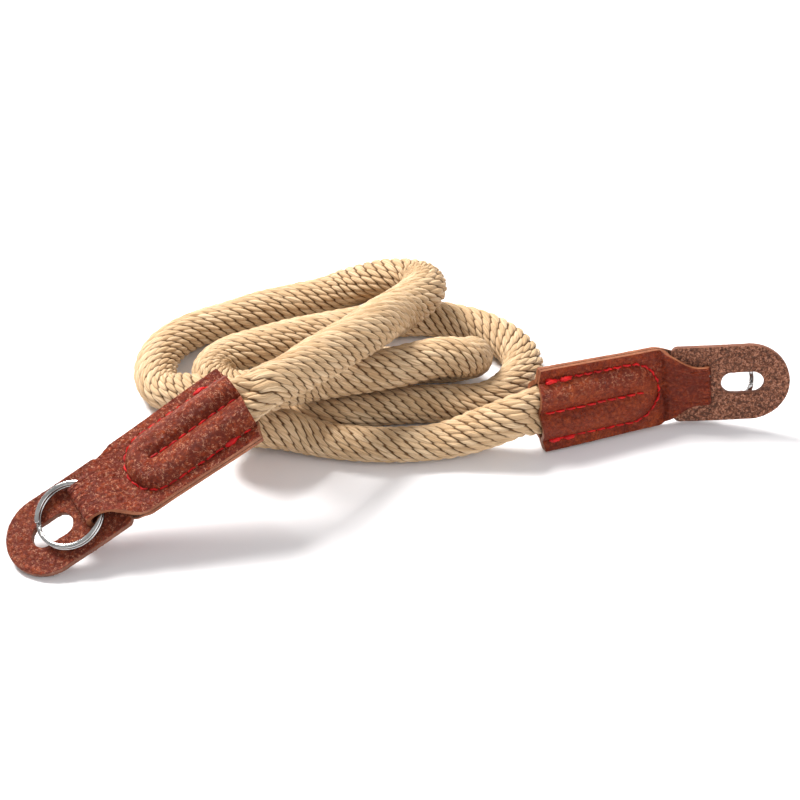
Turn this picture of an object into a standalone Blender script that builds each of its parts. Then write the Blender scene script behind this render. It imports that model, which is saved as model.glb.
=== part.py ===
# Coiled rope camera strap.
# One soft braided cord lies in loose, flattened loops on a table. Each end of the cord is sewn
# into a folded leather end piece. The fold of each end piece holds a small split ring and the
# slotted back of a leather guard pad.
# Metres, +Z up. The origin is on the table, under the middle of the leather ends, rings and pads.

import math

import bmesh
import bpy
import numpy as np
from mathutils import Matrix, Vector

MM = 0.001

# Driving dimensions, in millimetres unless named otherwise
CLEARANCE = 0.3

ROPE_DIAMETER = 9.7
ROPE_STRAIGHT_LEAD = 1.2
ROPE_LONGEST_STEP = 16.0
ROPE_LARGEST_TURN_DEG = 31.0

LEATHER = 1.2
SLEEVE_MOUTH_WIDTH = 20.5
SLEEVE_SHOULDER_WIDTH = 19.4
SHOULDER_START = 28.5
SHOULDER_LENGTH = 11.0
NECK_WIDTH = 9.4
SEAM_INSET = 3.0
SEAM_END = 29.0
GROOVE_LENGTH = 23.0
GROOVE_WIDTH = 1.3
GROOVE_DEPTH_SHARE = 0.34
LOBE_ROUNDING = 3.4
FRONT_BULGE_AT_MOUTH = 4.2
FRONT_BULGE_AT_END = 3.0
BACK_BULGE_AT_MOUTH = 2.8
BACK_BULGE_AT_END = 1.5
MOUTH_BOW = 1.4

TAIL_LENGTH = 21.5
TAIL_LEAD = 4.5
TAIL_SIDE_GAP = 1.5
TAIL_CLEARANCE = 0.5
MOUTH_ROPE_WIDTH = 12.6

PAD_FROM_MOUTH = 33.0
LAYERS_PART_BEFORE_PAD = 2.6
PAD_LENGTH = 27.6
PAD_WIDTH = 19.0
PAD_THICKNESS = 1.8
PAD_CORNER = 1.6
PAD_ROUND_LENGTH = 9.6
PAD_STRIP = 7.6
PAD_HOLE_FROM_BACK = 16.5
PAD_HOLE_LENGTH = 10.0
PAD_HOLE_WIDTH = 5.2
PAD_CREASE_AFTER_SLIT = 0.6
PAD_CREASE_DEG = -2.0

RING_OUTER_DIAMETER = 16.0
RING_WIRE = 0.9
RING_TURN_GAP = 0.1
RING_KINK_DEG = 28.0
RING_SPLIT_DEG = 7.0

# Where each end lies: the middle of the sleeve's mouth, the direction from there to the tip of
# the pad, the direction across the sleeve, and how far the neck bends towards the suede side.
LEFT_MOUTH = (-35.4, -36.3, 27.2)
LEFT_AXIS = (-0.823, -0.371, -0.429)
LEFT_ACROSS = (0.514, -0.807, -0.289)
LEFT_NECK_BEND_DEG = 0.0
RIGHT_MOUTH = (33.1, -17.2, 10.4)
RIGHT_AXIS = (0.951, 0.310, 0.005)
RIGHT_ACROSS = (0.086, -0.249, -0.965)
RIGHT_NECK_BEND_DEG = 23.7
NECK_BEND_FROM_MOUTH = 31.0
NECK_BEND_BEFORE = 2.5
NECK_BEND_AFTER = 1.8

# The middle of the pile seen in the route's own measure, moved onto the origin
PILE_SHIFT = (-3.0, 33.0, 0.0)

# The cord's route through the pile, from the left leather end to the right one, in the order it
# lies. At both ends it first leaves the mouth in line with the sleeve.
ROPE_ROUTE = [
    # over the top to the right-hand end of the pile
    (-22.6, -26.2, 28.5), (-14.0, -16.0, 27.2), (-8.6, -9.0, 26.0), (-4.4, -0.2, 23.3),
    (-1.0, 9.2, 19.1), (3.2, 17.0, 17.0), (6.2, 23.2, 16.5), (4.6, 28.8, 15.6), (-0.8, 32.2, 13.8),
    # down the back and round the left
    (-8.5, 35.3, 9.8), (-16.0, 37.0, 6.2), (-27.0, 34.5, 5.0), (-39.0, 29.8, 5.0),
    (-50.4, 24.0, 5.0), (-57.8, 16.2, 5.0), (-59.9, 6.0, 5.0), (-57.3, -1.8, 5.3),
    (-52.0, -6.0, 6.8), (-46.0, -9.4, 8.6), (-40.0, -11.0, 8.2), (-33.5, -10.2, 6.5),
    # along the table under the strand above, and round the right
    (-27.0, -9.5, 5.2), (-18.0, -9.2, 5.0), (-4.0, -6.8, 5.0), (11.0, -5.6, 5.0),
    (22.6, -4.0, 5.0), (28.5, 2.3, 5.0), (30.2, 9.5, 5.0), (27.2, 17.3, 5.0),
    (20.0, 24.0, 5.0), (10.0, 27.3, 5.0), (-4.0, 26.2, 5.0),
    # the inner loop on the left
    (-16.0, 22.8, 5.0), (-28.0, 18.6, 5.0), (-37.2, 14.2, 5.0), (-43.3, 10.8, 5.0),
    (-45.9, 5.9, 5.0), (-43.8, 1.1, 5.0), (-38.3, -1.0, 5.0), (-29.0, 1.7, 5.0),
    # the inner loop on the right, which climbs onto the strand in front
    (-16.0, 6.5, 5.0), (0.0, 8.5, 5.0), (9.9, 8.6, 5.05), (15.0, 7.8, 6.3),
    (17.6, 4.0, 10.1), (15.2, 0.1, 13.8), (9.9, -1.3, 15.1), (0.0, -4.8, 15.0),
    (-12.0, -8.2, 15.0), (-21.5, -12.0, 15.7),
    # the bend under the left leather end
    (-27.8, -19.0, 18.4), (-33.4, -22.9, 19.8), (-37.7, -23.3, 18.2), (-39.8, -22.7, 14.3),
    (-38.3, -21.6, 10.1), (-34.2, -20.5, 8.2), (-28.0, -19.8, 7.0),
    # the front strand to the right leather end
    (-21.5, -19.7, 5.5), (-13.0, -21.1, 5.0), (-1.0, -22.0, 5.05), (11.0, -20.8, 5.3),
    (20.5, -19.9, 7.6),
]

# Sizes that follow from the ones above
SHEET_GAP = CLEARANCE
SEAM_LEVEL = (SHEET_GAP + LEATHER) / 2
SLIT_WIDTH = LEATHER + 2 * CLEARANCE
SLIT_LENGTH = NECK_WIDTH + SLIT_WIDTH - CLEARANCE
RING_PITCH = RING_WIRE + RING_TURN_GAP
RING_HEIGHT = RING_WIRE + RING_PITCH
RING_PATH_RADIUS = (RING_OUTER_DIAMETER - RING_WIRE) / 2
RING_BASE_LEVEL = PAD_THICKNESS / 2 + CLEARANCE
WIRE_FROM_MOUTH = PAD_FROM_MOUTH + PAD_STRIP / 2
RING_CENTRE_FROM_MOUTH = WIRE_FROM_MOUTH + RING_PATH_RADIUS
OVER_RING_LEVEL = RING_BASE_LEVEL + RING_HEIGHT + CLEARANCE + LEATHER / 2
UNDER_STRIP_LEVEL = -(PAD_THICKNESS / 2 + CLEARANCE + LEATHER / 2)
FOLD_FROM_MOUTH = PAD_FROM_MOUTH + PAD_STRIP + CLEARANCE + LEATHER / 2
SEAM_HALF_WIDTH = SLEEVE_MOUTH_WIDTH / 2 - SEAM_INSET
SEAM_ARC_FROM_MOUTH = SEAM_END - SEAM_HALF_WIDTH


def clear_scene():
    for obj in list(bpy.data.objects):
        bpy.data.objects.remove(obj, do_unlink=True)


def new_collection(name):
    collection = bpy.data.collections.new(name)
    bpy.context.scene.collection.children.link(collection)
    return collection


def material(name, colour, roughness, metallic=0.0):
    mat = bpy.data.materials.new(name)
    mat.use_nodes = True
    shader = mat.node_tree.nodes["Principled BSDF"]
    shader.inputs["Base Color"].default_value = (*colour, 1.0)
    shader.inputs["Roughness"].default_value = roughness
    shader.inputs["Metallic"].default_value = metallic
    mat.diffuse_color = (*colour, 1.0)
    return mat


def smoothstep(x):
    x = min(max(x, 0.0), 1.0)
    return x * x * (3.0 - 2.0 * x)


def spline_through(points):
    """A natural cubic spline through the points, as a function of its knots' measure."""
    points = np.array(points, float)
    chords = np.sqrt(np.linalg.norm(np.diff(points, axis=0), axis=1))
    knots = np.concatenate([[0.0], np.cumsum(chords)])
    count = len(points)
    system = np.zeros((count, count))
    right = np.zeros_like(points)
    system[0, 0] = 1.0
    system[-1, -1] = 1.0
    for i in range(1, count - 1):
        before = knots[i] - knots[i - 1]
        after = knots[i + 1] - knots[i]
        system[i, i - 1] = before
        system[i, i] = 2.0 * (before + after)
        system[i, i + 1] = after
        rise_after = (points[i + 1] - points[i]) / after
        rise_before = (points[i] - points[i - 1]) / before
        right[i] = 6.0 * (rise_after - rise_before)
    second = np.linalg.solve(system, right)

    def at(t):
        t = np.atleast_1d(t)
        i = np.clip(np.searchsorted(knots, t, side="right") - 1, 0, count - 2)
        span = (knots[i + 1] - knots[i])[:, None]
        a = (knots[i + 1] - t)[:, None] / span
        b = (t - knots[i])[:, None] / span
        bend = (a ** 3 - a) * second[i] + (b ** 3 - b) * second[i + 1]
        return a * points[i] + b * points[i + 1] + bend * span ** 2 / 6.0

    return at, knots


def tube_points(route, longest_step, largest_turn_deg):
    """Points from the route's second point to its last but one, closer where it turns."""
    curve, knots = spline_through(route)
    dense = curve(np.linspace(knots[1], knots[-2], 4000))
    steps = np.diff(dense, axis=0)
    lengths = np.linalg.norm(steps, axis=1)
    directions = steps / lengths[:, None]
    cosines = np.clip((directions[1:] * directions[:-1]).sum(axis=1), -1.0, 1.0)
    turns = np.concatenate([[0.0], np.degrees(np.arccos(cosines))])
    effort = np.cumsum(lengths / longest_step + turns / largest_turn_deg)
    effort = np.concatenate([[0.0], effort])
    count = int(math.ceil(effort[-1])) + 1
    wanted = np.linspace(0.0, effort[-1], count)
    return [[np.interp(x, effort, dense[:, k]) for k in range(3)] for x in wanted]


def poly_tube(name, points, diameter, resolution, collection, mat, cyclic=False):
    curve = bpy.data.curves.new(name, "CURVE")
    curve.dimensions = "3D"
    curve.twist_mode = "MINIMUM"
    curve.bevel_depth = diameter / 2 * MM
    curve.bevel_resolution = resolution
    curve.use_fill_caps = True
    spline = curve.splines.new("POLY")
    spline.points.add(len(points) - 1)
    for point, target in zip(spline.points, points):
        point.co = (target[0] * MM, target[1] * MM, target[2] * MM, 1.0)
    spline.use_cyclic_u = cyclic
    spline.use_smooth = True
    curve.materials.append(mat)
    obj = bpy.data.objects.new(name, curve)
    collection.objects.link(obj)
    return obj


def frame_empty(name, origin, along, across, collection):
    """An empty with +X from the mouth to the tip, +Y across the leather, +Z out of its grain."""
    x = Vector(along).normalized()
    y = Vector(across)
    y = (y - x * y.dot(x)).normalized()
    z = x.cross(y)
    matrix = Matrix((x, y, z)).transposed().to_4x4()
    matrix.translation = Vector(origin) * MM
    empty = bpy.data.objects.new(name, None)
    empty.empty_display_size = 0.01
    empty.matrix_world = matrix
    collection.objects.link(empty)
    return empty


def shifted(point):
    return tuple(a + b for a, b in zip(point, PILE_SHIFT))


# The folded leather end piece, in its own frame: u along, v across, w out of the grain side

def half_width(u):
    sleeve = SLEEVE_MOUTH_WIDTH / 2
    shoulder = SLEEVE_SHOULDER_WIDTH / 2
    width = sleeve + (shoulder - sleeve) * smoothstep(u / SHOULDER_START)
    taper = smoothstep((u - SHOULDER_START) / SHOULDER_LENGTH)
    return width + (NECK_WIDTH / 2 - width) * taper


def bulge(u, v, at_mouth, at_end):
    """How far one layer stands out over the cord sewn under it: two lobes inside a U seam."""
    past = max(u - SEAM_ARC_FROM_MOUTH, 0.0)
    inside = SEAM_HALF_WIDTH - math.hypot(past, v)
    share = min(max(inside / LOBE_ROUNDING, 0.0), 1.0)
    rise = math.sin(math.pi / 2 * share)
    groove = GROOVE_DEPTH_SHARE * math.exp(-((v / GROOVE_WIDTH) ** 2))
    groove *= 1.0 - smoothstep((u - GROOVE_LENGTH + GROOVE_WIDTH) / (2 * GROOVE_WIDTH))
    height = at_mouth + (at_end - at_mouth) * smoothstep(u / SEAM_ARC_FROM_MOUTH)
    return height * rise * (1.0 - groove)


def front_level(u, v):
    return SEAM_LEVEL + bulge(u, v, FRONT_BULGE_AT_MOUTH, FRONT_BULGE_AT_END)


def back_level(u, v):
    return -SEAM_LEVEL - bulge(u, v, BACK_BULGE_AT_MOUTH, BACK_BULGE_AT_END)


def fold_path():
    """The middle of the strip from the front layer, over the ring and through the slit."""
    part = PAD_FROM_MOUTH - LAYERS_PART_BEFORE_PAD
    over = OVER_RING_LEVEL
    under = UNDER_STRIP_LEVEL
    rise_end = WIRE_FROM_MOUTH - RING_WIRE / 2 - CLEARANCE
    drop_end = PAD_FROM_MOUTH - CLEARANCE
    top_bend = LEATHER + CLEARANCE
    low_bend = LEATHER / 2 + CLEARANCE
    corner = 1.0 - math.sqrt(0.5)
    path = []
    for along, up in ((0.0, 0.0), (0.22, 0.1), (0.5, 0.52), (0.78, 0.92), (1.0, 1.0)):
        path.append((part + along * (rise_end - part), SEAM_LEVEL + up * (over - SEAM_LEVEL)))
    path += [
        (FOLD_FROM_MOUTH - top_bend, over),
        (FOLD_FROM_MOUTH - top_bend * corner, over - top_bend * corner),
        (FOLD_FROM_MOUTH, over - top_bend),
        (FOLD_FROM_MOUTH, (over + under) / 2),
        (FOLD_FROM_MOUTH, under + low_bend),
        (FOLD_FROM_MOUTH - low_bend * corner, under + low_bend * corner),
        (FOLD_FROM_MOUTH - low_bend, under),
        (WIRE_FROM_MOUTH, under),
    ]
    for along, down in ((1.0, 1.0), (0.6, 0.55), (0.25, 0.1), (0.0, 0.0)):
        path.append((part + along * (drop_end - part), -SEAM_LEVEL + down * (under + SEAM_LEVEL)))
    return path


def bend_at_neck(u, w, bend_deg):
    start = NECK_BEND_FROM_MOUTH - NECK_BEND_BEFORE
    angle = math.radians(bend_deg)
    angle *= smoothstep((u - start) / (NECK_BEND_BEFORE + NECK_BEND_AFTER))
    away = u - NECK_BEND_FROM_MOUTH
    along = NECK_BEND_FROM_MOUTH + away * math.cos(angle) + w * math.sin(angle)
    return along, w * math.cos(angle) - away * math.sin(angle)


def leather_end(name, bend_deg, parent, collection, mat):
    """One strip of leather, folded in half round the ring and the pad's back strip."""
    columns = 16
    shares = [2.0 * k / columns - 1.0 for k in range(columns + 1)]
    sleeve_rows = 15
    fold = fold_path()
    sleeve_end = fold[0][0]
    rows = []
    for i in range(sleeve_rows):
        u = sleeve_end * i / sleeve_rows
        rows.append(("front", u, 0.0))
    for u, w in fold:
        rows.append(("fold", u, w))
    for i in reversed(range(sleeve_rows)):
        u = sleeve_end * i / sleeve_rows
        rows.append(("back", u, 0.0))
    mesh = bpy.data.meshes.new(name)
    bm = bmesh.new()
    grid = []
    for kind, u, w in rows:
        line = []
        for share in shares:
            v = share * half_width(u)
            along = u
            if kind != "fold":
                bow = MOUTH_BOW * (1.0 - share * share)
                along = u - bow * (1.0 - smoothstep(u / SEAM_ARC_FROM_MOUTH))
            level = w
            if kind == "front":
                level = front_level(u, v)
            if kind == "back":
                level = back_level(u, v)
            bent_u, bent_w = bend_at_neck(along, level, bend_deg)
            line.append(bm.verts.new((bent_u * MM, v * MM, bent_w * MM)))
        grid.append(line)
    for lower, upper in zip(grid[:-1], grid[1:]):
        for k in range(columns):
            bm.faces.new((lower[k], upper[k], upper[k + 1], lower[k + 1]))
    for face in bm.faces:
        face.smooth = True
    bmesh.ops.recalc_face_normals(bm, faces=bm.faces)
    bm.to_mesh(mesh)
    bm.free()
    mesh.materials.append(mat)
    obj = bpy.data.objects.new(name, mesh)
    obj.parent = parent
    collection.objects.link(obj)
    wall = obj.modifiers.new("leather thickness", "SOLIDIFY")
    wall.thickness = LEATHER * MM
    wall.offset = 0.0
    wall.use_even_offset = True
    return obj


def under_leather(level, u, v, side):
    """The surface that stays the tail's clearance inside a leather layer."""
    step = 0.2
    slope_u = (level(u + step, v) - level(u - step, v)) / (2 * step)
    slope_v = (level(u, v + step) - level(u, v - step)) / (2 * step)
    steep = math.sqrt(1.0 + slope_u ** 2 + slope_v ** 2)
    return level(u, v) - side * (LEATHER / 2 + TAIL_CLEARANCE) * steep


def rope_tail(name, parent, collection, mat):
    """The end of the cord: round outside the mouth, flattened into two lobes in the sleeve."""
    sides = 20
    inner_half = SEAM_HALF_WIDTH - TAIL_SIDE_GAP
    neck_in = TAIL_LEAD - MOUTH_BOW - CLEARANCE
    distances = [-TAIL_LEAD + neck_in * share for share in (0.0, 0.35, 0.7, 1.0)]
    distances += [TAIL_LENGTH * share for share in (0.0, 0.06, 0.15, 0.3, 0.5, 0.7, 0.85, 1.0)]
    bm = bmesh.new()
    rings = []
    for u in distances:
        inside = max(u, 0.0)
        past = max(inside - SEAM_ARC_FROM_MOUTH, 0.0)
        half = math.sqrt(max(inner_half ** 2 - past ** 2, 1.0))
        half += (MOUTH_ROPE_WIDTH / 2 - inner_half) * (1.0 - smoothstep(inside / TAIL_LENGTH * 4))
        flat = smoothstep((u + TAIL_LEAD) / neck_in)
        line = []
        for k in range(sides):
            angle = 2 * math.pi * k / sides
            across = math.cos(angle)
            up = math.sin(angle)
            v = half * across
            top = under_leather(front_level, inside, v, 1.0)
            low = under_leather(back_level, inside, v, -1.0)
            middle = (top + low) / 2
            level = middle
            if up > 0.01:
                level = middle + (top - middle) * min(1.0, 1.35 * up)
            if up < -0.01:
                level = middle + (low - middle) * min(1.0, -1.35 * up)
            round_v = ROPE_DIAMETER / 2 * across
            round_w = ROPE_DIAMETER / 2 * up
            mixed_v = round_v + (v - round_v) * flat
            mixed_w = round_w + (level - round_w) * flat
            line.append(bm.verts.new((u * MM, mixed_v * MM, mixed_w * MM)))
        rings.append(line)
    for lower, upper in zip(rings[:-1], rings[1:]):
        for k in range(sides):
            n = (k + 1) % sides
            bm.faces.new((lower[k], lower[n], upper[n], upper[k]))
    bm.faces.new(rings[0])
    bm.faces.new(rings[-1])
    for face in bm.faces:
        face.smooth = True
    bmesh.ops.recalc_face_normals(bm, faces=bm.faces)
    mesh = bpy.data.meshes.new(name)
    bm.to_mesh(mesh)
    bm.free()
    mesh.materials.append(mat)
    mesh.set_sharp_from_angle(angle=math.radians(50))
    obj = bpy.data.objects.new(name, mesh)
    obj.parent = parent
    collection.objects.link(obj)
    return obj


def split_ring(name, parent, collection, mat):
    """Two turns of wire, one on the other, with a short kink where the wire changes turn."""
    kink = RING_KINK_DEG
    total = 720.0 - kink
    count = int(round(total / 15.0))
    points = []
    for k in range(count + 1):
        angle = total * k / count
        level = smoothstep((angle - (360.0 - kink)) / kink)
        turn = math.radians(RING_SPLIT_DEG + angle)
        x = RING_PATH_RADIUS * math.cos(turn)
        y = RING_PATH_RADIUS * math.sin(turn)
        points.append((x, y, RING_WIRE / 2 + RING_PITCH * level))
    obj = poly_tube(name, points, RING_WIRE, 2, collection, mat)
    obj.parent = parent
    along = RING_CENTRE_FROM_MOUTH - NECK_BEND_FROM_MOUTH
    obj.location = (along * MM, 0.0, RING_BASE_LEVEL * MM)
    return obj


def closed_outline(curve, points):
    spline = curve.splines.new("POLY")
    spline.points.add(len(points) - 1)
    for point, target in zip(spline.points, points):
        point.co = (target[0] * MM, target[1] * MM, 0.0, 1.0)
    spline.use_cyclic_u = True


def round_ended_slot(centre, length, width, along_x):
    """A slot outline with round ends."""
    steps = 7
    straight = (length - width) / 2
    points = []
    for end in (1, -1):
        for k in range(steps):
            angle = math.pi * (k / (steps - 1) - 0.5 * end)
            x = end * straight + width / 2 * math.cos(angle)
            y = width / 2 * math.sin(angle)
            if not along_x:
                x, y = -y, x
            points.append((centre + x, y))
    return points


def guard_pad(name, parent, collection, mat):
    """The pad: square at the back, round at the front, with a slit and an oblong hole."""
    half = PAD_WIDTH / 2
    outline = []
    for side in (-1, 1):
        corner = []
        for k in range(5):
            angle = math.pi / 2 * k / 4
            x = PAD_CORNER * (1 - math.cos(angle))
            y = half - PAD_CORNER * (1 - math.sin(angle))
            corner.append((x, side * y))
        if side > 0:
            outline += corner
        else:
            outline = corner[::-1] + outline
    arc = []
    for k in range(17):
        angle = math.pi / 2 - math.pi * k / 16
        x = PAD_LENGTH - PAD_ROUND_LENGTH * (1 - math.cos(angle))
        arc.append((x, half * math.sin(angle)))
    outline += arc
    slit_middle = PAD_STRIP + SLIT_WIDTH / 2
    curve = bpy.data.curves.new(name, "CURVE")
    curve.dimensions = "2D"
    curve.fill_mode = "BOTH"
    curve.extrude = PAD_THICKNESS / 2 * MM
    closed_outline(curve, outline)
    closed_outline(curve, round_ended_slot(slit_middle, SLIT_LENGTH, SLIT_WIDTH, False))
    closed_outline(curve, round_ended_slot(PAD_HOLE_FROM_BACK, PAD_HOLE_LENGTH, PAD_HOLE_WIDTH, True))
    flat = bpy.data.objects.new(name + "_outline", curve)
    collection.objects.link(flat)
    bpy.context.view_layer.update()
    graph = bpy.context.evaluated_depsgraph_get()
    mesh = bpy.data.meshes.new_from_object(flat.evaluated_get(graph))
    bpy.data.objects.remove(flat, do_unlink=True)
    bm = bmesh.new()
    bm.from_mesh(mesh)
    bmesh.ops.remove_doubles(bm, verts=bm.verts, dist=0.000005)
    crease = (PAD_STRIP + SLIT_WIDTH + PAD_CREASE_AFTER_SLIT) * MM
    geometry = list(bm.verts) + list(bm.edges) + list(bm.faces)
    bmesh.ops.bisect_plane(bm, geom=geometry, plane_co=(crease, 0, 0), plane_no=(1, 0, 0))
    turn = Matrix.Rotation(math.radians(PAD_CREASE_DEG), 4, "Y")
    moved = [vert for vert in bm.verts if vert.co.x > crease + 0.000001]
    bmesh.ops.rotate(bm, cent=(crease, 0, 0), matrix=turn, verts=moved)
    bmesh.ops.recalc_face_normals(bm, faces=bm.faces)
    bm.to_mesh(mesh)
    bm.free()
    mesh.name = name
    mesh.materials.clear()
    mesh.materials.append(mat)
    mesh.set_sharp_from_angle(angle=math.radians(35))
    obj = bpy.data.objects.new(name, mesh)
    obj.parent = parent
    obj.location = ((PAD_FROM_MOUTH - NECK_BEND_FROM_MOUTH) * MM, 0.0, 0.0)
    collection.objects.link(obj)
    return obj


def strap_end(side, mouth, along, across, bend_deg, collection, mats):
    """One end of the strap: leather end piece, cord tail, split ring and guard pad."""
    end = frame_empty("end_frame_" + side, shifted(mouth), along, across, collection)
    neck = bpy.data.objects.new("neck_frame_" + side, None)
    neck.empty_display_size = 0.005
    neck.parent = end
    neck.location = (NECK_BEND_FROM_MOUTH * MM, 0.0, 0.0)
    neck.rotation_euler = (0.0, math.radians(bend_deg), 0.0)
    collection.objects.link(neck)
    leather_end("leather_end_" + side, bend_deg, end, collection, mats["leather"])
    rope_tail("rope_tail_" + side, end, collection, mats["rope"])
    split_ring("split_ring_" + side, neck, collection, mats["steel"])
    guard_pad("pad_" + side, neck, collection, mats["pad"])
    return end


def free_rope(left_end, right_end, collection, mat):
    """The free stretch of the cord, from the flattened tail of one end to that of the other."""
    reach = TAIL_LEAD + CLEARANCE
    ends = []
    for end in (left_end, right_end):
        out = [Vector((-away * MM, 0.0, 0.0)) for away in (0.0, reach, reach + ROPE_STRAIGHT_LEAD)]
        ends.append([list(end.matrix_world @ point / MM) for point in out])
    middle = [shifted(point) for point in ROPE_ROUTE]
    route = ends[0][1:] + middle + ends[1][:0:-1]
    points = tube_points(route, ROPE_LONGEST_STEP, ROPE_LARGEST_TURN_DEG)
    points = [ends[0][1]] + points + [ends[1][1]]
    return poly_tube("rope", points, ROPE_DIAMETER, 3, collection, mat)


def build():
    clear_scene()
    strap = new_collection("coiled_rope_camera_strap")
    mats = {
        "rope": material("braided_cord", (0.60, 0.50, 0.36), 0.72),
        "leather": material("grain_leather", (0.16, 0.045, 0.03), 0.38),
        "pad": material("pad_leather", (0.15, 0.05, 0.032), 0.5),
        "steel": material("ring_steel", (0.72, 0.71, 0.69), 0.2, 1.0),
    }
    left = strap_end("left", LEFT_MOUTH, LEFT_AXIS, LEFT_ACROSS, LEFT_NECK_BEND_DEG, strap, mats)
    right = strap_end("right", RIGHT_MOUTH, RIGHT_AXIS, RIGHT_ACROSS, RIGHT_NECK_BEND_DEG, strap, mats)
    bpy.context.view_layer.update()
    free_rope(left, right, strap, mats["rope"])
    bpy.context.view_layer.update()


build()
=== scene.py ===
# Looks of the coiled rope camera strap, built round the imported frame.
# A soft straw-coloured braided cord lies in flattened loops on a pale table. Its ends go into
# folded, pebbled leather end pieces sewn with red thread, each with a split ring and a guard pad.
# +Z is up. Sizes are millimetres unless a comment says metres, and finished pieces are in metres.

import math

import bpy
import numpy as np
from mathutils import Matrix, Vector, noise


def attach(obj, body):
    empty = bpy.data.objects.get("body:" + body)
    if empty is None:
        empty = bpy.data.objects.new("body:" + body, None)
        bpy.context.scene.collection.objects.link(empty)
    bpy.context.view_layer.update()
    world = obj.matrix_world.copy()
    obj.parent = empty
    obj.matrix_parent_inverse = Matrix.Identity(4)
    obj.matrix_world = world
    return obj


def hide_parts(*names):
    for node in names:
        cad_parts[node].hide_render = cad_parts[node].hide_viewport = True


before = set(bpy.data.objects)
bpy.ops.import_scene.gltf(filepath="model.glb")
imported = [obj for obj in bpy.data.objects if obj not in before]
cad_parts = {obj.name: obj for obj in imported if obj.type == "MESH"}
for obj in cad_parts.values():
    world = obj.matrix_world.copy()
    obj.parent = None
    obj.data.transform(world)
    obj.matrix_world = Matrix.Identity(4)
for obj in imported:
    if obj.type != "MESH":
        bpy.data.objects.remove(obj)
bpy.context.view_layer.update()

MM = 0.001
rng = np.random.default_rng(7)

# Shared sizes, as in the part

CLEARANCE = 0.3
ROPE_DIAMETER = 9.7
ROPE_STRAIGHT_LEAD = 1.2
LEATHER = 1.2
SLEEVE_MOUTH_WIDTH = 20.5
SLEEVE_SHOULDER_WIDTH = 19.4
SHOULDER_START = 28.5
SHOULDER_LENGTH = 11.0
NECK_WIDTH = 9.4
SEAM_INSET = 3.0
SEAM_END = 29.0
GROOVE_LENGTH = 23.0
BACK_GROOVE_LENGTH = 25.5
GROOVE_WIDTH = 1.75
GROOVE_DEPTH_SHARE = 0.55
GROOVE_FADE = 3.0
LOBE_ROUNDING = 3.62
FRONT_BULGE_AT_MOUTH = 4.2
FRONT_BULGE_AT_END = 3.0
BACK_BULGE_AT_MOUTH = 2.8
BACK_BULGE_AT_END = 1.5
MOUTH_BOW = 1.4
TAIL_LEAD = 4.5
PAD_FROM_MOUTH = 33.0
LAYERS_PART_BEFORE_PAD = 2.6
PAD_LENGTH = 27.6
PAD_WIDTH = 19.0
PAD_THICKNESS = 1.8
PAD_CORNER = 1.6
PAD_ROUND_LENGTH = 9.6
PAD_STRIP = 7.6
PAD_HOLE_FROM_BACK = 16.5
PAD_HOLE_LENGTH = 10.0
PAD_HOLE_WIDTH = 5.2
PAD_CREASE_AFTER_SLIT = 0.6
PAD_CREASE_DEG = -2.0
RING_OUTER_DIAMETER = 16.0
RING_WIRE = 0.9
RING_TURN_GAP = 0.1
RING_KINK_DEG = 28.0
RING_SPLIT_DEG = 7.0
NECK_BEND_FROM_MOUTH = 31.0
NECK_BEND_BEFORE = 2.5
NECK_BEND_AFTER = 1.8

SEAM_LEVEL = (CLEARANCE + LEATHER) / 2
SLIT_WIDTH = LEATHER + 2 * CLEARANCE
RING_PITCH = RING_WIRE + RING_TURN_GAP
RING_HEIGHT = RING_WIRE + RING_PITCH
RING_PATH_RADIUS = (RING_OUTER_DIAMETER - RING_WIRE) / 2
RING_BASE_LEVEL = PAD_THICKNESS / 2 + CLEARANCE
WIRE_FROM_MOUTH = PAD_FROM_MOUTH + PAD_STRIP / 2
RING_CENTRE_FROM_MOUTH = WIRE_FROM_MOUTH + RING_PATH_RADIUS
OVER_RING_LEVEL = RING_BASE_LEVEL + RING_HEIGHT + CLEARANCE + LEATHER / 2
UNDER_STRIP_LEVEL = -(PAD_THICKNESS / 2 + CLEARANCE + LEATHER / 2)
FOLD_FROM_MOUTH = PAD_FROM_MOUTH + PAD_STRIP + CLEARANCE + LEATHER / 2
SEAM_HALF_WIDTH = SLEEVE_MOUTH_WIDTH / 2 - SEAM_INSET
SEAM_ARC_FROM_MOUTH = SEAM_END - SEAM_HALF_WIDTH
SLEEVE_END = PAD_FROM_MOUTH - LAYERS_PART_BEFORE_PAD
LEAD_OUT = TAIL_LEAD + CLEARANCE

# For each layer of the sleeve: its side of the middle, how far the cord makes it bulge at the
# mouth and at the far end, and the length of the groove between its two lobes
LAYERS = {
    "front": (1.0, FRONT_BULGE_AT_MOUTH, FRONT_BULGE_AT_END, GROOVE_LENGTH),
    "back": (-1.0, BACK_BULGE_AT_MOUTH, BACK_BULGE_AT_END, BACK_GROOVE_LENGTH),
}

# The places below are metres round the camera's target. This shift puts the pile's middle on the
# origin.
PILE_SHIFT = (-0.003, 0.033, 0.0)
# Each leather end's mouth, its directions along and across, and the bend of its neck in degrees
ENDS = {
    "left": ((-0.0354, -0.0363, 0.0272), (-0.823, -0.371, -0.429), (0.514, -0.807, -0.289), 0.0),
    "right": ((0.0331, -0.0172, 0.0104), (0.951, 0.310, 0.005), (0.086, -0.249, -0.965), 23.7),
}

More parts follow.
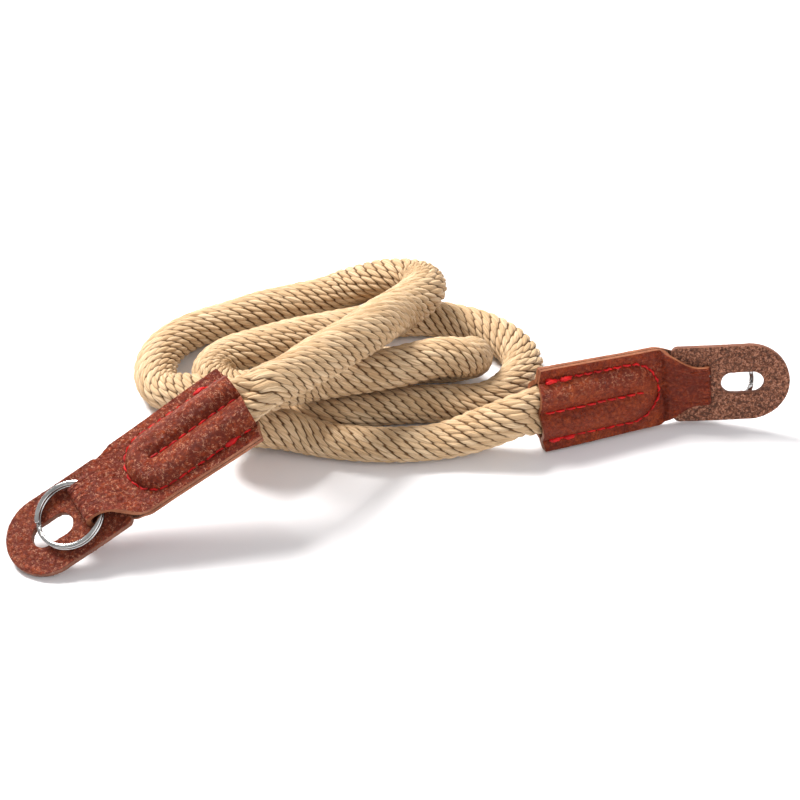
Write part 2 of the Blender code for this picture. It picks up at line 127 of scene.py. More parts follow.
# The cord's route through the pile, from the left leather end to the right one
ROUTE = [
    # over the top to the right-hand end of the pile
    (-0.0226, -0.0262, 0.0285), (-0.0140, -0.0160, 0.0272), (-0.0086, -0.0090, 0.0260),
    (-0.0044, -0.0002, 0.0233), (-0.0010, 0.0092, 0.0191), (0.0032, 0.0170, 0.0170),
    (0.0062, 0.0232, 0.0165), (0.0046, 0.0288, 0.0156), (-0.0008, 0.0322, 0.0138),
    # down the back and round the left
    (-0.0085, 0.0353, 0.0098), (-0.0160, 0.0370, 0.0062), (-0.0270, 0.0345, 0.0050),
    (-0.0390, 0.0298, 0.0050), (-0.0504, 0.0240, 0.0050), (-0.0578, 0.0162, 0.0050),
    (-0.0599, 0.0060, 0.0050), (-0.0573, -0.0018, 0.0053), (-0.0520, -0.0060, 0.0068),
    (-0.0460, -0.0094, 0.0086), (-0.0400, -0.0110, 0.0082), (-0.0335, -0.0102, 0.0065),
    # along the table under the strand above, and round the right
    (-0.0270, -0.0095, 0.0052), (-0.0180, -0.0092, 0.0050), (-0.0040, -0.0068, 0.0050),
    (0.0110, -0.0056, 0.0050), (0.0226, -0.0040, 0.0050), (0.0285, 0.0023, 0.0050),
    (0.0302, 0.0095, 0.0050), (0.0272, 0.0173, 0.0050), (0.0200, 0.0240, 0.0050),
    (0.0100, 0.0273, 0.0050), (-0.0040, 0.0262, 0.0050),
    # the inner loop on the left
    (-0.0160, 0.0228, 0.0050), (-0.0280, 0.0186, 0.0050), (-0.0372, 0.0142, 0.0050),
    (-0.0433, 0.0108, 0.0050), (-0.0459, 0.0059, 0.0050), (-0.0438, 0.0011, 0.0050),
    (-0.0383, -0.0010, 0.0050), (-0.0290, 0.0017, 0.0050),
    # the inner loop on the right, which climbs onto the strand in front
    (-0.0160, 0.0065, 0.0050), (0.0000, 0.0085, 0.0050), (0.0099, 0.0086, 0.00505),
    (0.0150, 0.0078, 0.0063), (0.0176, 0.0040, 0.0101), (0.0152, 0.0001, 0.0138),
    (0.0099, -0.0013, 0.0151), (0.0000, -0.0048, 0.0150), (-0.0120, -0.0082, 0.0150),
    (-0.0215, -0.0120, 0.0157),
    # the bend under the left leather end
    (-0.0278, -0.0190, 0.0184), (-0.0334, -0.0229, 0.0198), (-0.0377, -0.0233, 0.0182),
    (-0.0398, -0.0227, 0.0143), (-0.0383, -0.0216, 0.0101), (-0.0342, -0.0205, 0.0082),
    (-0.0280, -0.0198, 0.0070),
    # the front strand to the right leather end
    (-0.0215, -0.0197, 0.0055), (-0.0130, -0.0211, 0.0050), (-0.0010, -0.0220, 0.00505),
    (0.0110, -0.0208, 0.0053), (0.0205, -0.0199, 0.0076),
]


# Helpers


def smoothstep(x):
    """From 0 to 1 with soft ends, for a number or an array."""
    x = np.clip(x, 0.0, 1.0) if isinstance(x, np.ndarray) else min(max(x, 0.0), 1.0)
    return x * x * (3.0 - 2.0 * x)


def unit(vectors):
    return vectors / np.linalg.norm(vectors, axis=-1, keepdims=True)


def measured(line):
    """The distance run along a line of points, at each point."""
    return np.concatenate([[0.0], np.cumsum(np.linalg.norm(np.diff(line, axis=0), axis=1))])


def read_off(places, measure, table):
    """The rows of a table at places on its measure, also between two rows."""
    return np.stack([np.interp(places, measure, column) for column in table.T], axis=1)


def end_matrix(side):
    """The leather end's frame: +X from the mouth to the tip, +Y across, +Z out of the grain."""
    mouth, along, across, _ = ENDS[side]
    x = Vector(along).normalized()
    y = Vector(across)
    y = (y - x * y.dot(x)).normalized()
    matrix = Matrix((x, y, x.cross(y))).transposed().to_4x4()
    matrix.translation = Vector(mouth) + Vector(PILE_SHIFT)
    return matrix


def neck_matrix(side):
    """The frame of the ring and the pad, which follow the bend of the neck."""
    bend = math.radians(ENDS[side][3])
    place = Matrix.Translation((NECK_BEND_FROM_MOUTH * MM, 0.0, 0.0))
    return end_matrix(side) @ place @ Matrix.Rotation(bend, 4, "Y")


def placed(points, matrix):
    """Points in a local frame's millimetres, as world points in metres."""
    turn = np.array(matrix.to_3x3())
    shift = np.array(matrix.translation)
    return np.asarray(points, float) @ turn.T * MM + shift


def grid_faces(rows, columns, start=0, closed=False):
    """Quads between the rows of a grid of points, row by row."""
    i, k = np.meshgrid(np.arange(rows - 1), np.arange(columns if closed else columns - 1),
                       indexing="ij")
    n = (k + 1) % columns
    quads = np.stack([i * columns + k, i * columns + n, (i + 1) * columns + n,
                      (i + 1) * columns + k], axis=-1)
    return quads.reshape(-1, 4) + start


def tube_faces(rings, sides):
    """Faces of a tube. Its last two points are the middles that close its first and last ring."""
    faces = [tuple(quad) for quad in grid_faces(rings, sides, closed=True)]
    total = rings * sides
    for k in range(sides):
        after = (k + 1) % sides
        faces.append((total, after, k))
        faces.append((total + 1, total - sides + k, total - sides + after))
    return faces


def with_middles(points, sides):
    """A tube's points, followed by the middles of its first and last ring."""
    return np.vstack([points, points[:sides].mean(axis=0), points[-sides:].mean(axis=0)])


def linked(name, data):
    """A new object in the scene."""
    obj = bpy.data.objects.new(name, data)
    bpy.context.scene.collection.objects.link(obj)
    return obj


def mesh_piece(name, points, faces, materials, uv=None, tone=None, slots=None):
    """A smooth mesh from arrays; uv is one pair a vertex and tone is one colour a vertex."""
    mesh = bpy.data.meshes.new(name)
    mesh.from_pydata([tuple(p) for p in points], [], [tuple(int(i) for i in f) for f in faces])
    for mat in materials:
        mesh.materials.append(mat)
    if uv is not None:
        loops = np.empty(len(mesh.loops), dtype=np.int32)
        mesh.loops.foreach_get("vertex_index", loops)
        layer = mesh.uv_layers.new(name="uv")
        layer.data.foreach_set("uv", np.asarray(uv, np.float32)[loops].ravel())
    if tone is not None:
        layer = mesh.color_attributes.new("tone", "FLOAT_COLOR", "POINT")
        rgba = np.ones((len(points), 4), np.float32)
        rgba[:, :3] = tone
        layer.data.foreach_set("color", rgba.ravel())
    mesh.polygons.foreach_set("use_smooth", np.ones(len(mesh.polygons), dtype=bool))
    if slots is not None:
        mesh.polygons.foreach_set("material_index", np.asarray(slots, np.int32))
    mesh.update()
    return linked(name, mesh)


# Camera

CAMERA_ELEVATION = math.radians(38.0)
CAMERA_DISTANCE = 480.0
CAMERA_LENS = 88.56
SENSOR_WIDTH = 36.0

camera_data = bpy.data.cameras.new("camera")
camera_data.sensor_width = SENSOR_WIDTH
camera_data.lens = CAMERA_LENS
camera_data.clip_start = 0.01
camera_data.clip_end = 10.0
camera = linked("camera", camera_data)
to_camera = Vector((0.0, -math.cos(CAMERA_ELEVATION), math.sin(CAMERA_ELEVATION)))
camera.location = Vector(PILE_SHIFT) + CAMERA_DISTANCE * MM * to_camera
camera.rotation_euler = (math.pi / 2 - CAMERA_ELEVATION, 0.0, 0.0)
bpy.context.scene.camera = camera


# Materials


class Tree:
    """The nodes of a material or of the world, added and linked by short calls."""

    def __init__(self, owner, shader):
        owner.use_nodes = True
        self.owner = owner
        self.nodes = owner.node_tree.nodes
        self.links = owner.node_tree.links
        self.shader = self.nodes[shader]

    def add(self, kind, inputs=None, **settings):
        node = self.nodes.new(kind)
        for key, value in settings.items():
            setattr(node, key, value)
        for key, value in (inputs or {}).items():
            self.feed(node.inputs[key], value)
        return node

    def feed(self, socket, value):
        if isinstance(value, bpy.types.NodeSocket):
            self.links.new(value, socket)
        else:
            socket.default_value = value

    def set(self, **values):
        for key, value in values.items():
            self.feed(self.shader.inputs[key.replace("_", " ")], value)

    def maths(self, operation, a, b=0.0):
        return self.add("ShaderNodeMath", {0: a, 1: b}, operation=operation).outputs[0]

    def weighed(self, a, a_share, b, b_share):
        """The sum of two values, each times its share."""
        return self.maths("ADD", self.maths("MULTIPLY", a, a_share),
                          self.maths("MULTIPLY", b, b_share))

    def spread(self, value, low, high, to_low=0.0, to_high=1.0):
        node = self.add("ShaderNodeMapRange", {
            "Value": value, "From Min": low, "From Max": high,
            "To Min": to_low, "To Max": to_high}, clamp=True)
        return node.outputs["Result"]

    def ramp(self, value, stops):
        node = self.add("ShaderNodeValToRGB", {"Fac": value})
        ramp = node.color_ramp
        while len(ramp.elements) < len(stops):
            ramp.elements.new(0.5)
        for element, (place, colour) in zip(ramp.elements, stops):
            element.position = place
            element.color = (*colour, 1.0)
        return node.outputs["Color"]

    def mix(self, factor, a, b, blend="MIX"):
        """A colour between a and b; a colour given as a tuple has three numbers."""
        a, b = ((*value, 1.0) if isinstance(value, tuple) else value for value in (a, b))
        node = self.add("ShaderNodeMix", {0: factor, 6: a, 7: b}, data_type="RGBA",
                        blend_type=blend)
        return node.outputs[2]

    def place(self):
        return self.add("ShaderNodeTexCoord").outputs["Object"]

    def noise(self, where, scale, detail=3.0, roughness=0.55, distortion=0.0):
        return self.add("ShaderNodeTexNoise", {
            "Vector": where, "Scale": scale, "Detail": detail, "Roughness": roughness,
            "Distortion": distortion}).outputs["Fac"]

    def cells(self, where, scale, feature="F1", output="Distance"):
        return self.add("ShaderNodeTexVoronoi", {"Vector": where, "Scale": scale},
                        feature=feature).outputs[output]

    def split(self, colour):
        node = self.add("ShaderNodeSeparateColor", {"Color": colour})
        return [node.outputs[k] for k in range(3)]

    def tones(self):
        """The three values that a mesh carries at each of its points."""
        return self.split(self.add("ShaderNodeVertexColor", layer_name="tone").outputs["Color"])

    def bump(self, height, distance, strength=1.0, before=None):
        """A normal bent by a height; the distance is in metres."""
        node = self.add("ShaderNodeBump", {
            "Height": height, "Distance": distance, "Strength": strength})
        if before is not None:
            self.feed(node.inputs["Normal"], before)
        return node.outputs["Normal"]


def material(name, viewport):
    """The nodes of a new material, with a plain colour for the viewport."""
    mat = bpy.data.materials.new(name)
    mat.diffuse_color = (*viewport, 1.0)
    return Tree(mat, "Principled BSDF")


def braid_material():
    """Soft waxy cotton floats: fine filaments along each one, with painted shade in the clefts
    between the floats and where strands touch.
    """
    t = material("braided_cord_floats", (0.72, 0.58, 0.36))
    straws = [(0.10, (0.60, 0.395, 0.215)), (0.45, (0.70, 0.49, 0.285)),
              (0.90, (0.80, 0.605, 0.39))]
    between_filaments = (0.36, 0.205, 0.09)
    contact_shade_colour = (0.66, 0.54, 0.43)
    cleft_shade = (0.085, 0.036, 0.013)
    where = t.place()
    own, height, contact_shade = t.tones()
    uv = t.add("ShaderNodeUVMap", uv_map="uv").outputs["UV"]
    stretched = t.add("ShaderNodeMapping", {"Vector": uv, "Scale": (0.8, 5.6, 1.0)})
    filaments = t.noise(stretched.outputs["Vector"], 1.0, 3.0, 0.7)
    face = t.ramp(t.weighed(own, 0.55, t.noise(where, 90.0), 0.45), straws)
    shadow = t.mix(0.72, face, between_filaments)
    streaked = t.mix(t.spread(filaments, 0.34, 0.60), shadow, face)
    # Painted shade where strands of the cord touch one another
    shaded = t.mix(t.maths("MULTIPLY", contact_shade, 0.8), streaked, contact_shade_colour, "MULTIPLY")
    # Painted shade in the clefts: the second tone darkens the edges of each float
    cleft_shaded = t.mix(t.spread(height, 0.10, 0.56), cleft_shade, shaded)
    t.set(Base_Color=cleft_shaded, Roughness=t.spread(filaments, 0.3, 0.7, 0.68, 0.50))
    t.set(Specular_IOR_Level=0.28, Sheen_Weight=0.08, Sheen_Roughness=0.45)
    t.set(Sheen_Tint=(1.0, 0.93, 0.8, 1.0))
    fine = t.bump(filaments, 0.00042)
    t.set(Normal=t.bump(t.noise(where, 2600.0, 2.0), 0.00006, 0.35, fine))
    return t.owner


def core_material():
    """What shows in the clefts between the floats: coloured far darker than the straw, as painted
    shade.
    """
    t = material("braided_cord_core", (0.18, 0.11, 0.05))
    fibres = t.noise(t.place(), 1500.0)
    colour = t.ramp(fibres, [(0.3, (0.085, 0.042, 0.018)), (0.7, (0.22, 0.12, 0.052))])
    t.set(Base_Color=colour, Roughness=0.85, Specular_IOR_Level=0.15)
    t.set(Normal=t.bump(fibres, 0.0001, 0.5))
    return t.owner


def grain_material(name, dark, mid, light, glint_amount=0.80):
    """Pebbled, waxed leather grain: small glossy pebbles, darker valleys, fine pores, painted shade
    in the seams and creases, and painted glints as thin light lines.
    """
    t = material(name, mid)
    pebble_scale = 1020.0
    glint_colour = (0.70, 0.32, 0.185)
    where = t.place()
    warp = t.add("ShaderNodeTexNoise", {"Vector": where, "Scale": 420.0, "Detail": 2.0})
    bent = t.add("ShaderNodeMix", data_type="VECTOR")
    for socket, value in ((0, 0.0007), (4, where), (5, warp.outputs["Color"])):
        t.feed(bent.inputs[socket], value)
    bent = bent.outputs[1]
    pebbles = t.cells(bent, pebble_scale, "SMOOTH_F1")
    crumbs = t.cells(bent, 2600.0, "DISTANCE_TO_EDGE")
    shade = t.split(t.cells(bent, pebble_scale, "F1", "Color"))[0]
    drift = t.noise(where, 150.0, 5.0, 0.65)
    mottled = t.weighed(drift, 0.88, shade, 0.14)
    colour = t.ramp(mottled, [(0.24, dark), (0.52, mid), (0.78, light)])
    grain_and_crease_shade, glint_share, _ = t.tones()
    # Painted shade in the seam grooves and the neck's creases, through the first tone
    crease_shaded = t.mix(t.spread(grain_and_crease_shade, 0.02, 0.42, 0.72, 0.0), colour, dark)
    valley = t.mix(t.spread(pebbles, 0.30, 0.62, 0.0, 0.55), crease_shaded, dark)
    pores = t.noise(where, 2500.0, 4.0, 0.65)
    pitted = t.mix(t.spread(pores, 0.50, 0.38, 0.0, 0.7), valley, dark)
    # Painted glints: thin light lines, broken up by a coarser pattern
    fold = t.maths("ABSOLUTE", t.maths("SUBTRACT", t.noise(bent, 2100.0, 2.0, 0.6), 0.5))
    glint_lines = t.maths("MULTIPLY", t.spread(fold, 0.010, 0.048, 1.0, 0.0),
                    t.spread(t.noise(where, 1250.0, 2.0), 0.50, 0.62, 0.0, glint_amount))
    t.set(Base_Color=t.mix(t.maths("MULTIPLY", glint_lines, glint_share), pitted, glint_colour))
    t.set(Roughness=t.maths("ADD", t.spread(pebbles, 0.1, 0.6, 0.26, 0.50),
                            t.spread(drift, 0.3, 0.7, -0.04, 0.08)))
    t.set(Specular_IOR_Level=0.27)
    height = t.maths("SUBTRACT", t.maths("MULTIPLY", t.spread(crumbs, 0.0, 0.3), 0.22), pebbles)
    t.set(Normal=t.bump(pores, 0.00018, 0.8, t.bump(height, 0.00062)))
    return t.owner


def flesh_material(name, dark, mid, light, scale=1.0):
    """Napped flesh side: short tangled fibres with dark pits between them."""
    t = material(name, mid)
    where = t.place()
    worms = t.noise(where, 1450.0 * scale, 4.0, 0.72, 1.2)
    pits = t.cells(where, 1500.0 * scale)
    fibres = t.noise(where, 3600.0 * scale, 3.0, 0.7, 0.8)
    woven = t.weighed(worms, 0.75, fibres, 0.25)
    base = t.ramp(woven, [(0.41, dark), (0.50, mid), (0.60, light)])
    base = t.mix(t.spread(pits, 0.52, 0.72, 0.0, 0.8), base, dark)
    worn = t.mix(t.spread(t.noise(where, 110.0), 0.35, 0.7, 0.0, 0.2), base, mid)
    t.set(Base_Color=worn, Roughness=0.88, Specular_IOR_Level=0.2)
    t.set(Sheen_Weight=0.25, Sheen_Roughness=0.5, Sheen_Tint=(1.0, 0.75, 0.6, 1.0))
    height = t.maths("SUBTRACT", worms, t.maths("MULTIPLY", pits, 0.55))
    t.set(Normal=t.bump(fibres, 0.00012, 0.7, t.bump(height, 0.0007, 0.95)))
    return t.owner


def cut_edge_material(name, dark, mid, light):
    """The raw cut edge: lighter, orange-brown, with the fibres of the hide."""
    t = material(name, mid)
    where = t.place()
    fibres = t.noise(where, 1700.0, 4.0, 0.7)
    mottled = t.weighed(fibres, 0.5, t.noise(where, 260.0), 0.5)
    t.set(Base_Color=t.ramp(mottled, [(0.30, dark), (0.52, mid), (0.75, light)]))
    t.set(Roughness=t.spread(fibres, 0.3, 0.7, 0.7, 0.5), Specular_IOR_Level=0.35)
    t.set(Normal=t.bump(fibres, 0.00018, 0.8))
    return t.owner


def thread_material():
    """Waxed red thread."""
    t = material("red_thread", (0.6, 0.02, 0.02))
    where = t.place()
    fibres = t.noise(where, 5200.0, 2.0)
    reds = [(0.3, (0.30, 0.002, 0.003)), (0.55, (0.56, 0.003, 0.004)), (0.8, (0.76, 0.009, 0.008))]
    t.set(Base_Color=t.ramp(t.noise(where, 420.0, 2.0), reds))
    t.set(Roughness=t.spread(fibres, 0.3, 0.7, 0.45, 0.62), Specular_IOR_Level=0.28)
    t.set(Normal=t.bump(fibres, 0.00005, 0.6))
    return t.owner


def steel_material():
    """Bright nickel-plated steel with small marks."""
    t = material("ring_nickel", (0.75, 0.74, 0.72))
    where = t.place()
    marks = t.noise(where, 1500.0, 4.0, 0.6)
    greys = [(0.3, (0.34, 0.335, 0.33)), (0.7, (0.54, 0.53, 0.52))]
    t.set(Base_Color=t.ramp(t.noise(where, 200.0, 2.0), greys), Metallic=1.0)
    t.set(Roughness=t.spread(marks, 0.35, 0.7, 0.12, 0.28), Normal=t.bump(marks, 0.00002, 0.25))
    return t.owner


floats_mat = braid_material()
core_mat = core_material()
grain_mat = grain_material("leather_grain", (0.105, 0.009, 0.002), (0.275, 0.034, 0.005),
                           (0.410, 0.074, 0.013))
pad_mat = grain_material("pad_grain", (0.095, 0.010, 0.003), (0.235, 0.033, 0.006),
                         (0.350, 0.070, 0.015), 0.66)
flesh_mat = flesh_material("leather_flesh", (0.10, 0.038, 0.022), (0.24, 0.105, 0.06),
                           (0.36, 0.18, 0.11), 1.3)
suede_mat = flesh_material("pad_suede", (0.050, 0.015, 0.009), (0.27, 0.095, 0.048),
                           (0.66, 0.30, 0.19))
edge_mat = cut_edge_material("leather_cut_edge", (0.14, 0.036, 0.014), (0.275, 0.088, 0.036),
                             (0.41, 0.165, 0.080))
pad_edge_mat = cut_edge_material("pad_cut_edge", (0.10, 0.032, 0.018), (0.19, 0.068, 0.036),
                                 (0.29, 0.125, 0.075))
thread_mat = thread_material()
steel_mat = steel_material()


# The sleeve's form, between whose layers the cord's ends lie


def half_width(u):
    sleeve = SLEEVE_MOUTH_WIDTH / 2
    shoulder = SLEEVE_SHOULDER_WIDTH / 2
    width = sleeve + (shoulder - sleeve) * smoothstep(u / SHOULDER_START)
    taper = smoothstep((u - SHOULDER_START) / SHOULDER_LENGTH)
    return width + (NECK_WIDTH / 2 - width) * taper


def bulge(u, v, at_mouth, at_end, groove_length):
    """How far one layer stands out over the cord sewn under it: two lobes inside a U seam."""
    past = max(u - SEAM_ARC_FROM_MOUTH, 0.0)
    inside = SEAM_HALF_WIDTH - math.hypot(past, v)
    share = min(max(inside / LOBE_ROUNDING, 0.0), 1.0)
    rise = math.sin(math.pi / 2 * share)
    groove = GROOVE_DEPTH_SHARE * math.exp(-((v / GROOVE_WIDTH) ** 2))
    groove *= 1.0 - smoothstep((u - groove_length + GROOVE_FADE / 2) / GROOVE_FADE)
    height = at_mouth + (at_end - at_mouth) * smoothstep(u / SEAM_ARC_FROM_MOUTH)
    return height * rise * (1.0 - groove)


def level_of(face, u, v):
    sign, *sizes = LAYERS[face]
    return sign * (SEAM_LEVEL + bulge(u, v, *sizes))


# The cord's line and its soft form

CORD_STEP = 0.25
# Over which length the line's turning is evened out
TURN_SMOOTHING = 3.0
INTO_MOUTH = 5.0
LINE_SAMPLES = 6000
TAIL_SAMPLES = 80
# A strand that lies on the table has its middle line below this level, and its contact grows
# over this much height
TABLE_LEVEL, TABLE_FADE = 7.0, 2.0
# A strand that lies on another one has its middle line between these levels, where its contact
# grows and fades. The first stretch of the cord, which lies on top of all, has none.
STACKED_FROM, STACKED_RISE = 11.5, 2.5
STACKED_TO, STACKED_FALL = 17.5, 2.0
STACKED_AFTER, STACKED_START = 120.0, 10.0
# What contact does: the share of its height that a strand loses, the share of its width that it
# gains, and how far it sinks
ON_TABLE = (0.15, 0.04, 0.66)
ON_STRAND = (0.06, 0.02, 1.0)
# How the soft strands lie once they have settled, between two points of the route, counted from
# 0: the shift, and the width and height against the round cord
SETTLED = [
    (0, 7, (-0.35, 0.75, 0.0), 1.17, 1.0),
    (8, 12, (0.0, 0.6, 0.2), 1.07, 1.03),
    (21, 25, (0.0, -1.2, 0.0), 1.0, 1.0),
    (30, 35, (0.0, 1.0, 0.0), 1.05, 1.0),
    (57, 60, (0.0, 0.2, -0.65), 1.0, 0.85),
]
SETTLED_FADE = 11.0
# The cord's ends are flattened before the mouth, and then drawn in between the leather's layers
FLATTEN_BEFORE, FLATTEN_LENGTH = 6.5, 6.0
FLAT_WIDTH, FLAT_HEIGHT, FLAT_LIFT = 1.18, 0.74, 0.45
DRAW_IN_BEFORE, DRAW_IN_LENGTH = 6.6, 5.2
DRAWN_HALF_WIDTH, DRAWN_HALF_HEIGHT = 6.3, 3.75
UNDER_LEATHER = 0.12


def spline_through(points):
    """A natural cubic spline through the points, as a function of its knots' measure."""
    chords = np.sqrt(np.linalg.norm(np.diff(points, axis=0), axis=1))
    knots = np.concatenate([[0.0], np.cumsum(chords)])
    gaps = np.diff(knots)
    inner = np.arange(1, len(points) - 1)
    system = np.eye(len(points))
    system[inner, inner - 1] = gaps[:-1]
    system[inner, inner] = 2.0 * (gaps[:-1] + gaps[1:])
    system[inner, inner + 1] = gaps[1:]
    right = np.zeros_like(points)
    right[inner] = 6.0 * np.diff(np.diff(points, axis=0) / gaps[:, None], axis=0)
    second = np.linalg.solve(system, right)

    def at(t):
        i = np.clip(np.searchsorted(knots, t, side="right") - 1, 0, len(gaps) - 1)
        span = gaps[i][:, None]
        a = (knots[i + 1] - t)[:, None] / span
        b = (t - knots[i])[:, None] / span
        bend = (a ** 3 - a) * second[i] + (b ** 3 - b) * second[i + 1]
        return a * points[i] + b * points[i + 1] + bend * span ** 2 / 6.0

    return at, knots


def inside_mouth(u, v, w, depth):
    """A point of the cord, at a depth under its surface, drawn in between the two layers."""
    bow = MOUTH_BOW * (1.0 - (v / (SLEEVE_MOUTH_WIDTH / 2)) ** 2)
    inside = max(u + bow, 0.0)
    high = level_of("front", inside, v) - LEATHER / 2 - UNDER_LEATHER
    low = level_of("back", inside, v) + LEATHER / 2 + UNDER_LEATHER
    half = DRAWN_HALF_HEIGHT * math.sqrt(max(1.0 - (v / DRAWN_HALF_WIDTH) ** 2, 0.06))
    bottom, top = FLAT_LIFT - half, FLAT_LIFT + half
    fit_low, fit_high = max(low, bottom), min(high, top)
    held = fit_low + (w - bottom) / (2 * half) * (fit_high - fit_low)
    held = min(max(held, low + 0.7 * depth), high - 0.7 * depth)
    return u, v, w + (held - w) * smoothstep((u + DRAW_IN_BEFORE) / DRAW_IN_LENGTH)


class Cord:
    """The cord's middle line in millimetres, with a frame that turns as little as it can."""

    def __init__(self):
        leads, mouths = [], []
        for side in ENDS:
            matrix = end_matrix(side)
            lead = [(-away, 0.0, 0.0) for away in (LEAD_OUT, LEAD_OUT + ROPE_STRAIGHT_LEAD)]
            leads.append(placed(lead, matrix) / MM)
            mouths.append(placed((INTO_MOUTH, 0.0, 0.0), matrix) / MM)
        middle = (np.array(ROUTE) + np.array(PILE_SHIFT)) / MM
        curve, knots = spline_through(np.vstack([leads[0], middle, leads[1][::-1]]))
        line = curve(np.linspace(knots[1], knots[-2], LINE_SAMPLES))
        head = np.linspace(mouths[0], line[0], TAIL_SAMPLES, endpoint=False)
        foot = np.linspace(line[-1], mouths[1], TAIL_SAMPLES + 1)[1:]
        line = np.vstack([head, line, foot])
        run = measured(line)
        self.length = run[-1]
        self.distance = np.linspace(0.0, self.length, int(round(self.length / CORD_STEP)) + 1)
        self.middle = read_off(self.distance, run, line)
        along = unit(np.gradient(self.middle, self.distance, axis=0))
        normals = [np.array(end_matrix("left").to_3x3())[:, 2]]
        for t in along[1:]:
            normals.append(unit(normals[-1] - t * np.dot(normals[-1], t)))
        self.normal = np.array(normals)
        self.across = np.cross(along, self.normal)
        turn = np.linalg.norm(np.gradient(along, self.distance, axis=0), axis=1)
        reach = round(2 * TURN_SMOOTHING / CORD_STEP)
        width = np.exp(-(np.arange(-reach, reach + 1) * CORD_STEP / TURN_SMOOTHING) ** 2)
        padded_turn = np.pad(turn, reach, mode="edge")
        self.turn = np.convolve(padded_turn, width / width.sum(), mode="valid")
        self.settled = []
        for first, last, shift, wide, high in SETTLED:
            ends = [self.distance[np.argmin(np.linalg.norm(self.middle - middle[k], axis=1))]
                    for k in (first, last)]
            self.settled.append((*ends, np.array(shift), wide, high))

    def frame_at(self, distance):
        """The middle line's points at these distances, and its two directions across."""
        return [read_off(distance, self.distance, table)
                for table in (self.middle, self.normal, self.across)]

    def surface(self, distance, angle, radius):
        """World points in millimetres at a distance along, an angle round and a radius."""
        middle, normal, across = self.frame_at(distance)
        out = radius[:, None] * (np.cos(angle)[:, None] * normal + np.sin(angle)[:, None] * across)
        level = middle[:, 2]
        low = smoothstep((TABLE_LEVEL - level) / TABLE_FADE)
        upper = np.clip((level - STACKED_FROM) / STACKED_RISE, 0.0, 1.0)
        upper *= np.clip((STACKED_TO - level) / STACKED_FALL, 0.0, 1.0)
        upper *= np.clip((distance - STACKED_AFTER) / STACKED_START, 0.0, 1.0)
        for share, (flatter, wider, sink) in ((low, ON_TABLE), (upper, ON_STRAND)):
            out[:, :2] *= (1.0 + wider * share)[:, None]
            out[:, 2] = out[:, 2] * (1.0 - flatter * share) - sink * share
        for start, end, shift, wide, high in self.settled:
            inside = np.minimum(distance - start, end - distance)
            share = smoothstep(inside / SETTLED_FADE + 0.5)
            out[:, :2] *= (1.0 + (wide - 1.0) * share)[:, None]
            out[:, 2] *= 1.0 + (high - 1.0) * share
            out = out + share[:, None] * shift
        for side, away in (("left", distance), ("right", self.length - distance)):
            matrix = end_matrix(side)
            u = INTO_MOUTH - away
            flat = smoothstep((u + FLATTEN_BEFORE) / FLATTEN_LENGTH)
            sideways, up = np.array(matrix.to_3x3()).T[1:]
            on_v = out @ sideways
            on_w = out @ up
            out = out + (on_v * (FLAT_WIDTH - 1.0) * flat)[:, None] * sideways
            out = out + (on_w * (FLAT_HEIGHT - 1.0) * flat + FLAT_LIFT * flat)[:, None] * up
            near = np.nonzero(u > -DRAW_IN_BEFORE)[0]
            if len(near):
                back = np.array(matrix.inverted())
                world = (middle + out)[near] * MM
                local = (world @ back[:3, :3].T + back[:3, 3]) / MM
                depth = np.clip(FLOAT_TOP - radius[near], 0.0, 1.0)
                fixed = [inside_mouth(*point, deep) for point, deep in zip(local, depth)]
                out[near] = placed(fixed, matrix) / MM - middle[near]
        return middle + out


cord = Cord()


# The braid on the cord: floats, which are the short stretches of strand that show, on a body painted
# dark as shade

FLOAT_PITCH = 3.1
FLOAT_ROWS = 16
FLOAT_HALF_LENGTH = 2.66
FLOAT_HALF_WIDTH = 0.99
# Points along and across a float
FLOAT_GRID = (8, 5)
FLOAT_PIECES = 2
# Radii of a float's top and edges, and of the body under it
FLOAT_TOP = 5.02
FLOAT_EDGE = 4.22
CORE_RADIUS = 4.30
# The length round the cord on which the floats are laid out
ROUND_LENGTH = 30.5
LEAN = math.radians(23.5)
# How far a float's two long sides are shifted against each other
SLANT = 0.5
# How far the braid turns round the cord for each millimetre along it, and more on the top strand
TWIST = 0.18
TWIST_ON_TOP = 0.24
TOP_STRAND_END, TOP_STRAND_FADE = 72.0, 18.0
# The floats come closer where the cord turns: from and over which share of the cord's radius in
# the bend's radius, by which share of the pitch, and from which place along the cord
CLOSING_FROM, CLOSING_RANGE, CLOSING = 0.28, 0.44, 0.50
CLOSING_AFTER, CLOSING_START = 24.0, 12.0
# How near to the braid's ends a float may have its middle
END_MARGIN = 0.4
# A place on a float against the middle of its rib, by its places along and across the float, and
# where the gap between two ribs starts there
RIB_ALONG = 1.02
RIB_ACROSS = 0.42 * SLANT - 0.73
RIB_GAP_FROM, RIB_GAP_RANGE = 0.35, 0.45


def wobble(distance, angle):
    """Small soft unevenness of the cord, as a factor on its radius."""
    slow = np.sin(distance / 9.3 + 1.0) * 0.010 + np.sin(distance / 23.0) * 0.008
    return 1.0 + slow + 0.012 * np.cos(2 * angle + distance / 31.0)


def pressed_together(points, distance):
    """How near each point is to another strand of the cord, from 0 to 1 where they touch; it sets the
    painted shade there.
    """
    apart, fade, own_stretch, far = 7.8, 2.9, 16.0, 99.0
    at_once = 8000
    others = np.arange(0.0, cord.length, 2.0)
    zeros = np.zeros(len(others))
    other_points = cord.surface(others, zeros, zeros)
    nearest = np.zeros(len(points))
    for k in range(0, len(points), at_once):
        part = slice(k, k + at_once)
        gap = np.linalg.norm(points[part, None, :] - other_points[None, :, :], axis=2)
        gap[np.abs(distance[part, None] - others[None, :]) < own_stretch] = far
        nearest[part] = gap.min(axis=1)
    return smoothstep((apart - nearest) / fade)


